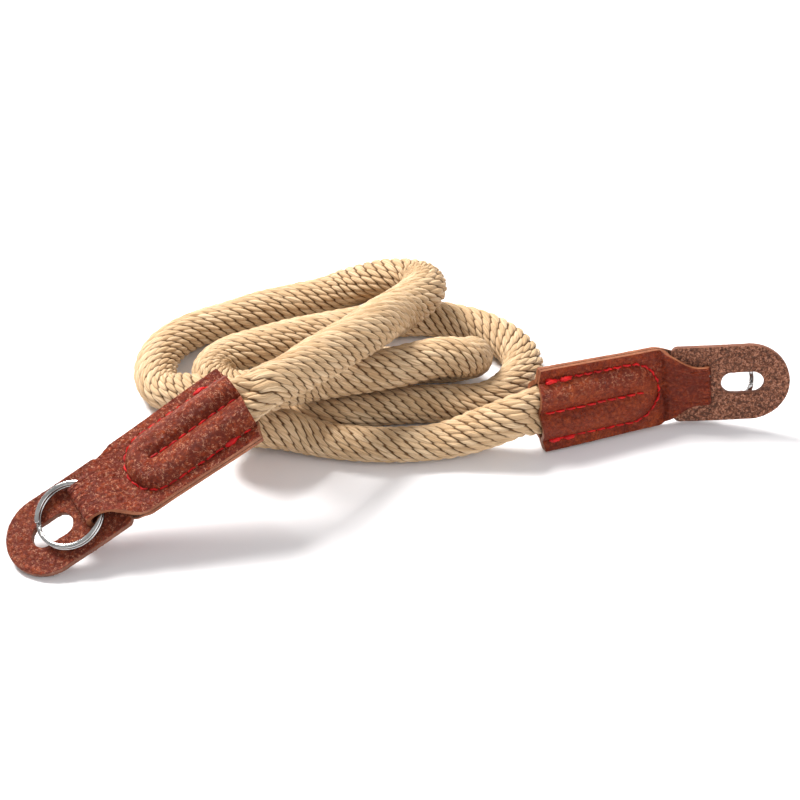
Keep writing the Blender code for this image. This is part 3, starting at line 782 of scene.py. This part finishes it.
def braid_measure():
    """The length along the unrolled braid at each step of the cord."""
    tight = smoothstep((cord.turn * ROPE_DIAMETER / 2 - CLOSING_FROM) / CLOSING_RANGE)
    tight *= np.clip((cord.distance - CLOSING_AFTER) / CLOSING_START, 0.0, 1.0)
    pitch = FLOAT_PITCH * (1.0 - CLOSING * tight)
    steps = FLOAT_PITCH / ((pitch[1:] + pitch[:-1]) / 2) * np.diff(cord.distance)
    return np.concatenate([[0.0], np.cumsum(steps)])


def braid_twist():
    """How far the braid has turned round at each step of the cord."""
    pulled = np.clip(cord.distance / 6.0, 0, 1)
    pulled *= np.clip((TOP_STRAND_END - cord.distance) / TOP_STRAND_FADE, 0, 1)
    step = cord.distance[1] - cord.distance[0]
    return TWIST * cord.distance + np.cumsum(pulled) * step * TWIST_ON_TOP


def float_centres(total):
    """The floats' middles on the unrolled braid, every second row half a pitch further on."""
    i, j = np.mgrid[:int(total / FLOAT_PITCH) + 2, :FLOAT_ROWS]
    place = (FLOAT_PITCH * (i + 0.5 * (j % 2))).ravel()
    centres = np.column_stack([place, j.ravel() * ROUND_LENGTH / FLOAT_ROWS])
    return centres[(place > END_MARGIN) & (place < total - END_MARGIN)]


def float_form():
    """One float's points: along and across from -1 to 1, its width there and its dome's height."""
    x, y = np.meshgrid(*(np.linspace(-1, 1, count) for count in FLOAT_GRID), indexing="ij")
    x = np.sign(x) * (1 - (1 - np.abs(x)) ** 1.25)
    outline = (1 - np.abs(x) ** 2.0) ** 0.85
    dome = np.sqrt(np.clip(1 - np.abs(y) ** 2.4, 0, 1)) * (1 - np.abs(x) ** 2.6)
    return x.ravel(), y.ravel(), outline.ravel(), dome.ravel()


def braid_floats():
    """The floats as slanted leaves in steep ribs, in pieces one after the other."""
    measure = braid_measure()
    centres = float_centres(measure[-1])
    count = len(centres)
    x, y, outline, dome = float_form()
    size = len(x)
    bowed = y * outline
    tone = rng.random(count)
    # A column each for height, length, width and lean, and a spare one
    jitter = rng.normal(0.0, 1.0, (count, 5))
    lift = 1.0 + 0.012 * jitter[:, 0]
    long = FLOAT_HALF_LENGTH * (1.0 + 0.05 * jitter[:, 1])[:, None]
    wide = FLOAT_HALF_WIDTH * (1.0 + 0.05 * jitter[:, 2])[:, None]
    lean = (LEAN + 0.035 * jitter[:, 3])[:, None]
    lengthwise = x * long + SLANT * bowed
    sideways = bowed * wide
    run = centres[:, :1] + lengthwise * np.cos(lean) - sideways * np.sin(lean)
    turned = centres[:, 1:] + lengthwise * np.sin(lean) + sideways * np.cos(lean)
    distance = np.interp(run.ravel(), measure, cord.distance)
    twist = np.interp(distance, cord.distance, braid_twist())
    angle = (turned.ravel() + twist) * 2 * math.pi / ROUND_LENGTH
    top = (FLOAT_TOP - FLOAT_EDGE) * np.repeat(lift, size)
    radius = (FLOAT_EDGE + top * np.tile(dome, count)) * wobble(distance, angle)
    points = cord.surface(distance, angle, radius)
    # Painted shade in the gaps between the floats: darker in the gaps between the ribs than in those
    # between the floats of one rib
    rib = np.abs(RIB_ALONG * x + RIB_ACROSS * bowed)
    rib_gap = np.clip((rib - RIB_GAP_FROM) / RIB_GAP_RANGE, 0.0, 1.0)
    shown = np.tile(1.0 - (1.0 - dome) * (0.5 + 0.5 * rib_gap), count)
    # Painted shade where strands touch, from how near another strand is
    contact_shade = pressed_together(points, distance)
    # Each float's own tone, its painted cleft shade and its painted shade where strands touch
    colours = np.column_stack([np.repeat(tone, size), shown, contact_shade])
    uv = np.column_stack([np.tile((x + 1) / 2, count), np.tile((y + 1) / 2, count)])
    uv += np.repeat(rng.random((count, 2)) * 40.0, size, axis=0)
    faces = grid_faces(*FLOAT_GRID)[None, :, :] + (np.arange(count) * size)[:, None, None]
    edges = [round(count * k / FLOAT_PIECES) for k in range(FLOAT_PIECES + 1)]
    pieces = []
    for k, (first, last) in enumerate(zip(edges[:-1], edges[1:])):
        rows = slice(first * size, last * size)
        part = faces[first:last].reshape(-1, 4) - first * size
        pieces.append(mesh_piece("cord_floats_%d" % (k + 1), points[rows] * MM, part,
                                 [floats_mat], uv[rows], colours[rows]))
    return pieces


def braid_core():
    """The body under the floats, painted dark as shade, closed at both ends."""
    rings = int(cord.length)
    sides = 20
    distance = np.repeat(np.linspace(0.0, cord.length, rings), sides)
    angle = np.tile(np.arange(sides) * 2 * math.pi / sides, rings)
    body = cord.surface(distance, angle, CORE_RADIUS * wobble(distance, angle)) * MM
    return mesh_piece("cord_body", with_middles(body, sides), tube_faces(rings, sides), [core_mat])


cord_floats = braid_floats()
cord_body = braid_core()
for piece in [cord_body] + cord_floats:
    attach(piece, "root")
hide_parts("rope", "rope_tail_left", "rope_tail_right")
cord_exit = placed([(-LEAD_OUT, 0.0, 0.0)], end_matrix("left"))[0]


# The leather end pieces

STRIP_COLUMNS = 84
SLEEVE_ROWS = 104
FOLD_STEP = 0.27
# The cut edge's profile: shares of the leather's half thickness, and how far out they stand
CUT_EDGE = ((0.78, -0.02), (0.3, 0.03), (-0.3, 0.03), (-0.78, -0.02))
RELIEF_SINK = 0.09
CREASES_FROM, CREASES_RISE = 25.0, 6.0


def soft_slope(u_end, level_start, level_end):
    """The strip's way from where its layers part to a place near the pad."""
    share = np.linspace(0.0, 1.0, 15)
    return np.column_stack([SLEEVE_END + share * (u_end - SLEEVE_END),
                            level_start + smoothstep(share) * (level_end - level_start)])


def fold_path():
    """The middle of the strip from the front layer, over the ring and through the slit."""
    over = OVER_RING_LEVEL
    under = UNDER_STRIP_LEVEL
    rise = soft_slope(WIRE_FROM_MOUTH - RING_WIRE / 2 - CLEARANCE, SEAM_LEVEL, over)
    drop = soft_slope(PAD_FROM_MOUTH - CLEARANCE, -SEAM_LEVEL, under)[::-1]
    turn = np.linspace(0.0, math.pi / 2, 9)
    late = 1 - np.cos(turn)
    early = 1 - np.sin(turn)
    top = np.array((FOLD_FROM_MOUTH, over)) - (LEATHER + CLEARANCE) * np.column_stack([early, late])
    low_bend = LEATHER / 2 + CLEARANCE
    low = np.column_stack([FOLD_FROM_MOUTH - low_bend * late, under + low_bend * early])
    return np.vstack([rise, top, low, (WIRE_FROM_MOUTH, under), drop])


def strip_rows():
    """The rows of the strip from one mouth edge to the other: its face and its place (u, w)."""
    fold = fold_path()
    run = measured(fold)
    fold = read_off(np.linspace(0.0, run[-1], int(run[-1] / FOLD_STEP)), run, fold)
    sleeve = [SLEEVE_END * i / SLEEVE_ROWS for i in range(SLEEVE_ROWS)]
    rows = [("front", u, 0.0) for u in sleeve]
    rows += [("fold", u, w) for u, w in fold]
    rows += [("back", u, 0.0) for u in reversed(sleeve)]
    return rows


def bend_at_neck(u, w, side):
    start = NECK_BEND_FROM_MOUTH - NECK_BEND_BEFORE
    angle = math.radians(ENDS[side][3])
    angle *= smoothstep((u - start) / (NECK_BEND_BEFORE + NECK_BEND_AFTER))
    away = u - NECK_BEND_FROM_MOUTH
    along = NECK_BEND_FROM_MOUTH + away * math.cos(angle) + w * math.sin(angle)
    return along, w * math.cos(angle) - away * math.sin(angle)


def layer_point(face, u, v, side):
    """The middle of a layer of the leather, in the end's own frame."""
    share = v / half_width(u)
    bow = MOUTH_BOW * (1.0 - share * share)
    along = u - bow * (1.0 - smoothstep(u / SEAM_ARC_FROM_MOUTH))
    bent_u, bent_w = bend_at_neck(along, level_of(face, u, v), side)
    return np.array((bent_u, v, bent_w))


def seam_distance(u, v):
    """How far a point of the sleeve is from the nearest seam."""
    if u > SEAM_ARC_FROM_MOUTH:
        outer = abs(math.hypot(u - SEAM_ARC_FROM_MOUTH, v) - SEAM_HALF_WIDTH)
    else:
        outer = abs(abs(v) - SEAM_HALF_WIDTH)
    middle = math.hypot(max(u - GROOVE_LENGTH, 0.0), v)
    return min(outer, middle)


def noise_at(x, y, z, scale=1.0):
    return noise.noise(Vector((x * scale, y * scale, z)))


def pebble(x, y, seed, size):
    """Height of the grain at a place on the flat hide, from 0 in a valley to 1."""
    spot = Vector((x / size, y / size, seed))
    spot += 0.35 * Vector((noise.noise(spot * 0.9), noise.noise(spot * 0.9 + Vector((9, 4, 2))), 0))
    near = noise.voronoi(spot)[0]
    return min((near[1] - near[0]) * 1.6, 1.0)


def grain_at(row, v, travelled, seed):
    """The hide's relief at a place, its pebble tone with painted shade in the seam grooves and
    creases, and its share of painted glint lines.
    """
    kind, u, w = row
    size = 1.0 + 0.2 * noise_at(travelled, v, seed, 0.12)
    grain = pebble(travelled, v, seed, size)
    relief = (0.05 if kind == "back" else 0.16) * grain
    relief += 0.05 * noise_at(travelled, v, seed + 5, 0.5)
    if kind != "fold":
        # A groove along each seam, with painted shade in it on the front
        near_seam = math.exp(-((seam_distance(u, v) / 0.5) ** 2))
        relief -= (0.26 if kind == "front" else 0.20) * near_seam
        grain = grain * (1.0 - 0.6 * near_seam) if kind == "front" else 0.45 + 0.55 * grain
    # Creases along the neck, with painted shade in them
    crease = 1.0 - min(abs(noise_at(travelled * 0.10, v * 0.75, seed + 8)) * 5.0, 1.0)
    crease *= smoothstep((u - CREASES_FROM) / CREASES_RISE)
    relief -= 0.18 * crease
    grain *= 1.0 - 0.85 * crease
    # The face that is turned down gets few painted glints, but for a band of them along one lobe
    turned = kind == "back" or (kind == "fold" and w < 0.0)
    lobe = math.exp(-(((v + 5.0) / 1.7) ** 2)) if kind == "back" else 0.0
    return relief, grain, 0.2 + 0.8 * lobe if turned else 1.0


def border_of(rows, columns):
    """The rows and the columns of the places round the border of a grid, in order."""
    border = [(i, 0) for i in range(rows)]
    border += [(rows - 1, k) for k in range(1, columns)]
    border += [(i, columns - 1) for i in range(rows - 2, -1, -1)]
    border += [(0, k) for k in range(columns - 2, 0, -1)]
    return tuple(np.array(border).T)


def leather_end(side):
    seed = 3.0 if side == "left" else 11.0
    even = np.linspace(-1, 1, STRIP_COLUMNS + 1)
    shares = np.sin(even * math.pi / 2) * 0.25 + even * 0.75
    strip = strip_rows()
    rows, columns = len(strip), len(shares)
    middle = np.zeros((rows, columns, 3))
    relief = np.zeros((rows, columns))
    grain_and_crease_shade = np.ones((rows, columns, 3))
    travelled = 0.0
    before = strip[0]
    for i, row in enumerate(strip):
        kind, u, w = row
        travelled += math.hypot(u - before[1], w - before[2])
        before = row
        for k, share in enumerate(shares):
            v = share * half_width(u)
            if kind == "fold":
                bent_u, bent_w = bend_at_neck(u, w, side)
                middle[i, k] = (bent_u, v, bent_w)
            else:
                middle[i, k] = layer_point(kind, u, v, side)
            relief[i, k], grain_and_crease_shade[i, k, 0], grain_and_crease_shade[i, k, 1] = grain_at(row, v, travelled, seed)
    along = np.gradient(middle, axis=0)
    across = np.gradient(middle, axis=1)
    normal = unit(np.cross(along, across))
    outer = middle + normal * (LEATHER / 2 + relief - RELIEF_SINK)[:, :, None]
    inner = middle - normal * (LEATHER / 2)
    # The cut edge runs round the strip's border, with its two corners eased
    border = border_of(rows, columns)
    at_row, at_column = border
    over_side = (at_column == columns - 1).astype(float) - (at_column == 0)
    over_end = (at_row == rows - 1).astype(float) - (at_row == 0)
    away = unit(across[border]) * over_side[:, None] + unit(along[border]) * over_end[:, None]
    edge_rows = []
    for share, out in CUT_EDGE:
        edge_rows.append(middle[border] + normal[border] * LEATHER / 2 * share + away * out)
    size = rows * columns
    points = np.vstack([outer.reshape(-1, 3), inner.reshape(-1, 3)] + edge_rows)
    loops = [at_row * columns + at_column]
    for r in range(len(edge_rows)):
        loops.append(np.arange(len(at_row)) + 2 * size + r * len(at_row))
    loops.append(loops[0] + size)
    rim = []
    for upper, lower in zip(loops[:-1], loops[1:]):
        rim.append(np.stack([upper, np.roll(upper, -1), np.roll(lower, -1), lower], axis=1))
    top = grid_faces(rows, columns)[:, ::-1]
    low = grid_faces(rows, columns, start=size)
    rim = np.vstack(rim)[:, ::-1]
    slots = [0] * len(top) + [1] * len(low) + [2] * len(rim)
    tone = np.ones((len(points), 3))
    tone[:size] = grain_and_crease_shade.reshape(-1, 3)
    return mesh_piece("leather_" + side, placed(points, end_matrix(side)),
                      np.vstack([top, low, rim]), [grain_mat, flesh_mat, edge_mat],
                      tone=tone, slots=slots)


# Thread

THREAD_SIDES = 8
STITCH_PITCH = 2.35
STITCH_POINTS = np.linspace(0.0, 1.0, 9)
SEAM_START = 1.3
# For each layer: how deep its stitches lie, their radius, and where the seam is sewn over itself
# near the mouth, as places along and aside
STITCHES = {
    "front": (-0.58, 0.24, ((5.0, 0.0), (5.2, 0.55))),
    "back": (-0.42, 0.27, ((1.5, -0.2), (1.7, 0.3), (5.0, -0.15), (5.1, 0.35))),
}
STITCH_RISE = 0.50
TACK_LENGTH = 2.7
TACK_RADIUS = 0.50


def stitch_path(kind, face):
    """A seam's line on the sleeve, as places (u, v)."""
    if kind == "middle":
        return np.column_stack([np.linspace(SEAM_START, LAYERS[face][3], 200), np.zeros(200)])
    bend = np.linspace(math.pi / 2, -math.pi / 2, 160)[1:-1]
    arc = np.column_stack([SEAM_ARC_FROM_MOUTH + SEAM_HALF_WIDTH * np.cos(bend),
                           SEAM_HALF_WIDTH * np.sin(bend)])
    leg = np.column_stack([np.linspace(SEAM_START, SEAM_ARC_FROM_MOUTH, 200),
                           np.full(200, SEAM_HALF_WIDTH)])
    return np.vstack([leg, arc, leg[::-1] * (1, -1)])


def thread_tube(line, radius):
    """A two-ply thread along a line of points, drawn in at its ends."""
    along = unit(np.gradient(line, axis=0))
    normal = unit(np.cross(along, np.array((0.31, 0.17, 0.93))))
    across = np.cross(along, normal)
    count = len(line)
    place = np.arange(count)[:, None]
    angle = np.arange(THREAD_SIDES) * 2 * math.pi / THREAD_SIDES
    taper = np.sqrt(np.maximum(1.0 - (2 * place / (count - 1) - 1) ** 6, 0.04))
    ply = 1.0 + 0.20 * np.cos(2 * (angle - place * 0.85))
    out = np.cos(angle)[:, None] * normal[:, None] + np.sin(angle)[:, None] * across[:, None]
    rings = line[:, None] + out * (radius * taper * ply)[:, :, None]
    points = np.vstack([rings.reshape(-1, 3), line[0], line[-1]])
    return points, tube_faces(count, THREAD_SIDES)


def over_leather(face, u, v, out, side):
    """A place that far out of a layer's grain side."""
    step = 0.05
    here = layer_point(face, u, v, side)
    by_u = layer_point(face, u + step, v, side) - here
    by_v = layer_point(face, u, v + step, side) - here
    normal = LAYERS[face][0] * unit(np.cross(by_u, by_v))
    return here + normal * (LEATHER / 2 + out)


def seam_stitches(kind, face, side):
    """The stitches of one seam: each one's line of points and radius."""
    depth, radius, _ = STITCHES[face]
    track = stitch_path(kind, face)
    run = measured(track)
    count = int(round(run[-1] / STITCH_PITCH))
    pitch = run[-1] / count
    stitches = []
    for i in range(count):
        start = (i + 0.04 + 0.03 * rng.normal()) * pitch
        end = (i + 0.97 + 0.03 * rng.normal()) * pitch
        aside = 0.09 * rng.normal()
        line = []
        for share in STITCH_POINTS:
            where = start + (end - start) * share
            u, v = (np.interp(where, run, column) for column in track.T)
            slant = (share - 0.5) * 0.30 + aside
            if kind == "middle":
                v += slant
            elif u > SEAM_ARC_FROM_MOUTH:
                length = math.hypot(u - SEAM_ARC_FROM_MOUTH, v)
                u += slant * (u - SEAM_ARC_FROM_MOUTH) / length
                v += slant * v / length
            else:
                v += math.copysign(slant, v)
            rise = STITCH_RISE * math.sin(math.pi * share) ** 0.6
            line.append(over_leather(face, u, v, depth + rise, side))
        stitches.append((line, radius + 0.012 * rng.normal()))
    return stitches


def bar_tacks(face, side):
    """The thick stitches where the seam is sewn over itself near the mouth."""
    tacks = []
    for sign in (1.0, -1.0):
        for start, aside in STITCHES[face][2]:
            line = []
            for share in STITCH_POINTS:
                u = start + TACK_LENGTH * share
                v = sign * (SEAM_HALF_WIDTH - 0.25 + aside + 0.2 * (share - 0.5))
                rise = STITCH_RISE * math.sin(math.pi * share) ** 0.5
                line.append(over_leather(face, u, v, rise - 0.20, side))
            tacks.append((line, TACK_RADIUS))
    return tacks


def seams(side):
    """All the thread in one leather end."""
    points, faces = [], []
    used = 0
    for face in LAYERS:
        threads = seam_stitches("outer", face, side) + seam_stitches("middle", face, side)
        for line, radius in threads + bar_tacks(face, side):
            tube, quads = thread_tube(np.array(line), radius)
            points.append(tube)
            faces.extend([tuple(i + used for i in quad) for quad in quads])
            used += len(tube)
    return mesh_piece("thread_" + side, placed(np.vstack(points), end_matrix(side)), faces,
                      [thread_mat])


# Split rings

RING_STEPS = 300
RING_SIDES = 20
# The wire's section is a rounded block, wider and flatter than the round wire of the part
WIRE_HALF_WIDTH = 0.56
WIRE_HALF_HEIGHT = RING_WIRE / 2 * 0.86
WIRE_SQUARENESS = 3.2


def split_ring(side):
    step = np.arange(RING_STEPS + 1)[:, None]
    angle = (720.0 - RING_KINK_DEG) * step / RING_STEPS
    level = smoothstep((angle - (360.0 - RING_KINK_DEG)) / RING_KINK_DEG)
    turn = np.radians(RING_SPLIT_DEG + angle)
    # The wire's two ends are rounded off
    ease = np.minimum(np.minimum(step, RING_STEPS - step) / 3.0, 1.0)
    scale = 0.72 + 0.28 * np.sqrt(1 - (1 - ease) ** 2)
    around = 2 * math.pi * np.arange(RING_SIDES) / RING_SIDES
    c, s = np.cos(around), np.sin(around)
    power = WIRE_SQUARENESS
    reach = scale * (np.abs(c) ** power + np.abs(s) ** power) ** (-1 / power)
    radius = RING_PATH_RADIUS + RING_WIRE / 2 + WIRE_HALF_WIDTH * (reach * c - 1)
    height = RING_WIRE / 2 + RING_PITCH * level + WIRE_HALF_HEIGHT * reach * s
    points = np.stack([radius * np.cos(turn), radius * np.sin(turn), height], axis=-1)
    points = with_middles(points.reshape(-1, 3), RING_SIDES)
    points += np.array((RING_CENTRE_FROM_MOUTH - NECK_BEND_FROM_MOUTH, 0.0, RING_BASE_LEVEL))
    return mesh_piece("ring_" + side, placed(points, neck_matrix(side)),
                      tube_faces(RING_STEPS + 1, RING_SIDES), [steel_mat])


# Guard pads

PAD_VOXEL = 0.24
SLIT_SNUG = 0.2
SLIT_OVER_NECK = 0.4


def closed_outline(curve, points):
    spline = curve.splines.new("POLY")
    spline.points.add(len(points) - 1)
    for point, (x, y) in zip(spline.points, points):
        point.co = (x, y, 0.0, 1.0)
    spline.use_cyclic_u = True


def round_ended_slot(centre, length, width, along_x):
    turn = np.linspace(-math.pi / 2, math.pi / 2, 16)
    end = width / 2 * np.column_stack([np.cos(turn), np.sin(turn)])
    end[:, 0] += (length - width) / 2
    slot = np.vstack([end, -end])
    if not along_x:
        slot = slot[:, ::-1] * (-1, 1)
    return slot + (centre, 0.0)


def pad_outline():
    """The pad's outline, with its straight end at zero and then its round end."""
    half = PAD_WIDTH / 2
    turn = np.linspace(0.0, math.pi / 2, 9)
    corner = np.column_stack([PAD_CORNER * (1 - np.cos(turn)),
                              half - PAD_CORNER * (1 - np.sin(turn))])
    turn = np.linspace(math.pi / 2, -math.pi / 2, 49)
    round_end = np.column_stack([PAD_LENGTH - PAD_ROUND_LENGTH * (1 - np.cos(turn)),
                                 half * np.sin(turn)])
    return np.vstack([corner[::-1] * (1, -1), corner, round_end])


def shown_mesh(obj):
    """The mesh that an object shows, with its modifiers. The object is removed."""
    bpy.context.view_layer.update()
    graph = bpy.context.evaluated_depsgraph_get()
    mesh = bpy.data.meshes.new_from_object(obj.evaluated_get(graph))
    bpy.data.objects.remove(obj, do_unlink=True)
    return mesh


def pad_block():
    """The flat pad with its hole and slit, in small even faces with soft edges."""
    curve = bpy.data.curves.new("pad_form", "CURVE")
    curve.dimensions = "2D"
    curve.fill_mode = "BOTH"
    curve.extrude = PAD_THICKNESS / 2
    slit_middle = PAD_STRIP + CLEARANCE + LEATHER / 2
    closed_outline(curve, pad_outline())
    closed_outline(curve, round_ended_slot(slit_middle, NECK_WIDTH + SLIT_OVER_NECK,
                                           LEATHER - SLIT_SNUG, False))
    closed_outline(curve, round_ended_slot(PAD_HOLE_FROM_BACK, PAD_HOLE_LENGTH, PAD_HOLE_WIDTH, True))
    block = linked("pad_form", shown_mesh(linked("pad_form", curve)))
    weld = block.modifiers.new("weld", "WELD")
    weld.merge_threshold = 0.001
    voxels = block.modifiers.new("voxels", "REMESH")
    voxels.mode = "VOXEL"
    voxels.voxel_size = PAD_VOXEL
    soften = block.modifiers.new("soften", "SMOOTH")
    soften.factor = 0.5
    soften.iterations = 2
    return shown_mesh(block)


def vertex_values(mesh, name):
    values = np.empty(len(mesh.vertices) * 3, np.float32)
    mesh.vertices.foreach_get(name, values)
    return values.reshape(-1, 3).astype(float)


def guard_pad(side):
    fine = pad_block()
    places = vertex_values(fine, "co")
    normals = vertex_values(fine, "normal")
    seed = 31.0 if side == "left" else 47.0
    # The pad's second tone gives it the full share of painted glint lines
    tone = np.ones((len(places), 3))
    for i, (x, y, _) in enumerate(places):
        up = normals[i, 2]
        if up > 0.5:
            tone[i, 0] = pebble(x, y, seed, 1.0)
            rough = 0.15 * tone[i, 0] - 0.11
            rough += 0.05 * noise_at(x, y, seed, 0.4)
        elif up < -0.5:
            rough = 0.16 * noise_at(x, y, seed, 1.2)
            rough += 0.15 * noise_at(x, y, seed, 2.4) - 0.08
        else:
            rough = 0.04 * noise.noise(Vector(places[i] * 1.5)) - 0.02
        places[i] += normals[i] * rough
    crease = PAD_STRIP + SLIT_WIDTH + PAD_CREASE_AFTER_SLIT
    turn = math.radians(PAD_CREASE_DEG)
    x, _, z = places.T.copy()
    away = x - crease
    bent = away > 0
    places[:, 0] = np.where(bent, crease + away * math.cos(turn) + z * math.sin(turn), x)
    places[:, 2] = np.where(bent, z * math.cos(turn) - away * math.sin(turn), z)
    places[:, 0] += PAD_FROM_MOUTH - NECK_BEND_FROM_MOUTH
    faces = [tuple(p.vertices) for p in fine.polygons]
    slots = [0 if p.normal.z > 0.6 else (1 if p.normal.z < -0.6 else 2) for p in fine.polygons]
    bpy.data.meshes.remove(fine)
    return mesh_piece("guard_pad_" + side, placed(places, neck_matrix(side)), faces,
                      [pad_mat, suede_mat, pad_edge_mat], tone=tone, slots=slots)


for end_side in ("left", "right"):
    leather = leather_end(end_side)
    thread = seams(end_side)
    ring = split_ring(end_side)
    pad = guard_pad(end_side)
    for piece, slot in ((leather, "grain_leather"), (thread, "grain_leather"),
                        (ring, "ring_steel"), (pad, "pad_leather")):
        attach(piece, "root")
    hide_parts("leather_end_" + end_side)
    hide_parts("split_ring_" + end_side)
    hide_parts("pad_" + end_side)


# Table and light, with places and sizes in metres

TABLE_REACH = 7.0


def table_material():
    t = material("table_top", (0.9, 0.9, 0.9))
    drift = t.noise(t.place(), 3.0, 2.0)
    colour = t.ramp(drift, [(0.3, (0.87, 0.860, 0.875)), (0.7, (0.90, 0.892, 0.905))])
    t.set(Base_Color=colour, Roughness=0.75, Specular_IOR_Level=0.2)
    return t.owner


def table():
    corners = [(x * TABLE_REACH, y * TABLE_REACH, 0.0)
               for x, y in ((-1, -1), (1, -1), (1, 1), (-1, 1))]
    mesh = bpy.data.meshes.new("table_top")
    mesh.from_pydata(corners, [], [(0, 1, 2, 3)])
    mesh.materials.append(table_material())
    return linked("table_top", mesh)


def studio():
    """Soft light from all round, grey near the table and white above."""
    world = bpy.data.worlds.new("studio")
    bpy.context.scene.world = world
    t = Tree(world, "Background")
    where = t.add("ShaderNodeTexCoord").outputs["Generated"]
    height = t.add("ShaderNodeSeparateXYZ", {"Vector": where}).outputs["Z"]
    shade = t.ramp(height, [(0.05, (0.30, 0.30, 0.31)), (0.55, (1.0, 1.0, 1.0))])
    t.set(Color=shade, Strength=0.54)


def area_light(name, place, aim, size, power, colour):
    light = bpy.data.lights.new(name, "AREA")
    light.shape = "RECTANGLE"
    light.size = size
    light.size_y = size
    light.energy = power
    light.color = colour
    obj = linked(name, light)
    obj.location = place
    obj.rotation_euler = (Vector(aim) - Vector(place)).to_track_quat("-Z", "Y").to_euler()


floor = table()
studio()
area_light("key", (-0.60, 0.55, 1.10), (0.0, 0.01, 0.0), 0.50, 36.0, (1.0, 0.985, 0.96))
area_light("fill", (0.50, -0.60, 0.55), (0.0, 0.0, 0.0), 0.7, 3.6, (0.98, 0.98, 1.0))
bpy.context.scene.view_settings.view_transform = "Standard"
bpy.context.scene.view_settings.look = "None"
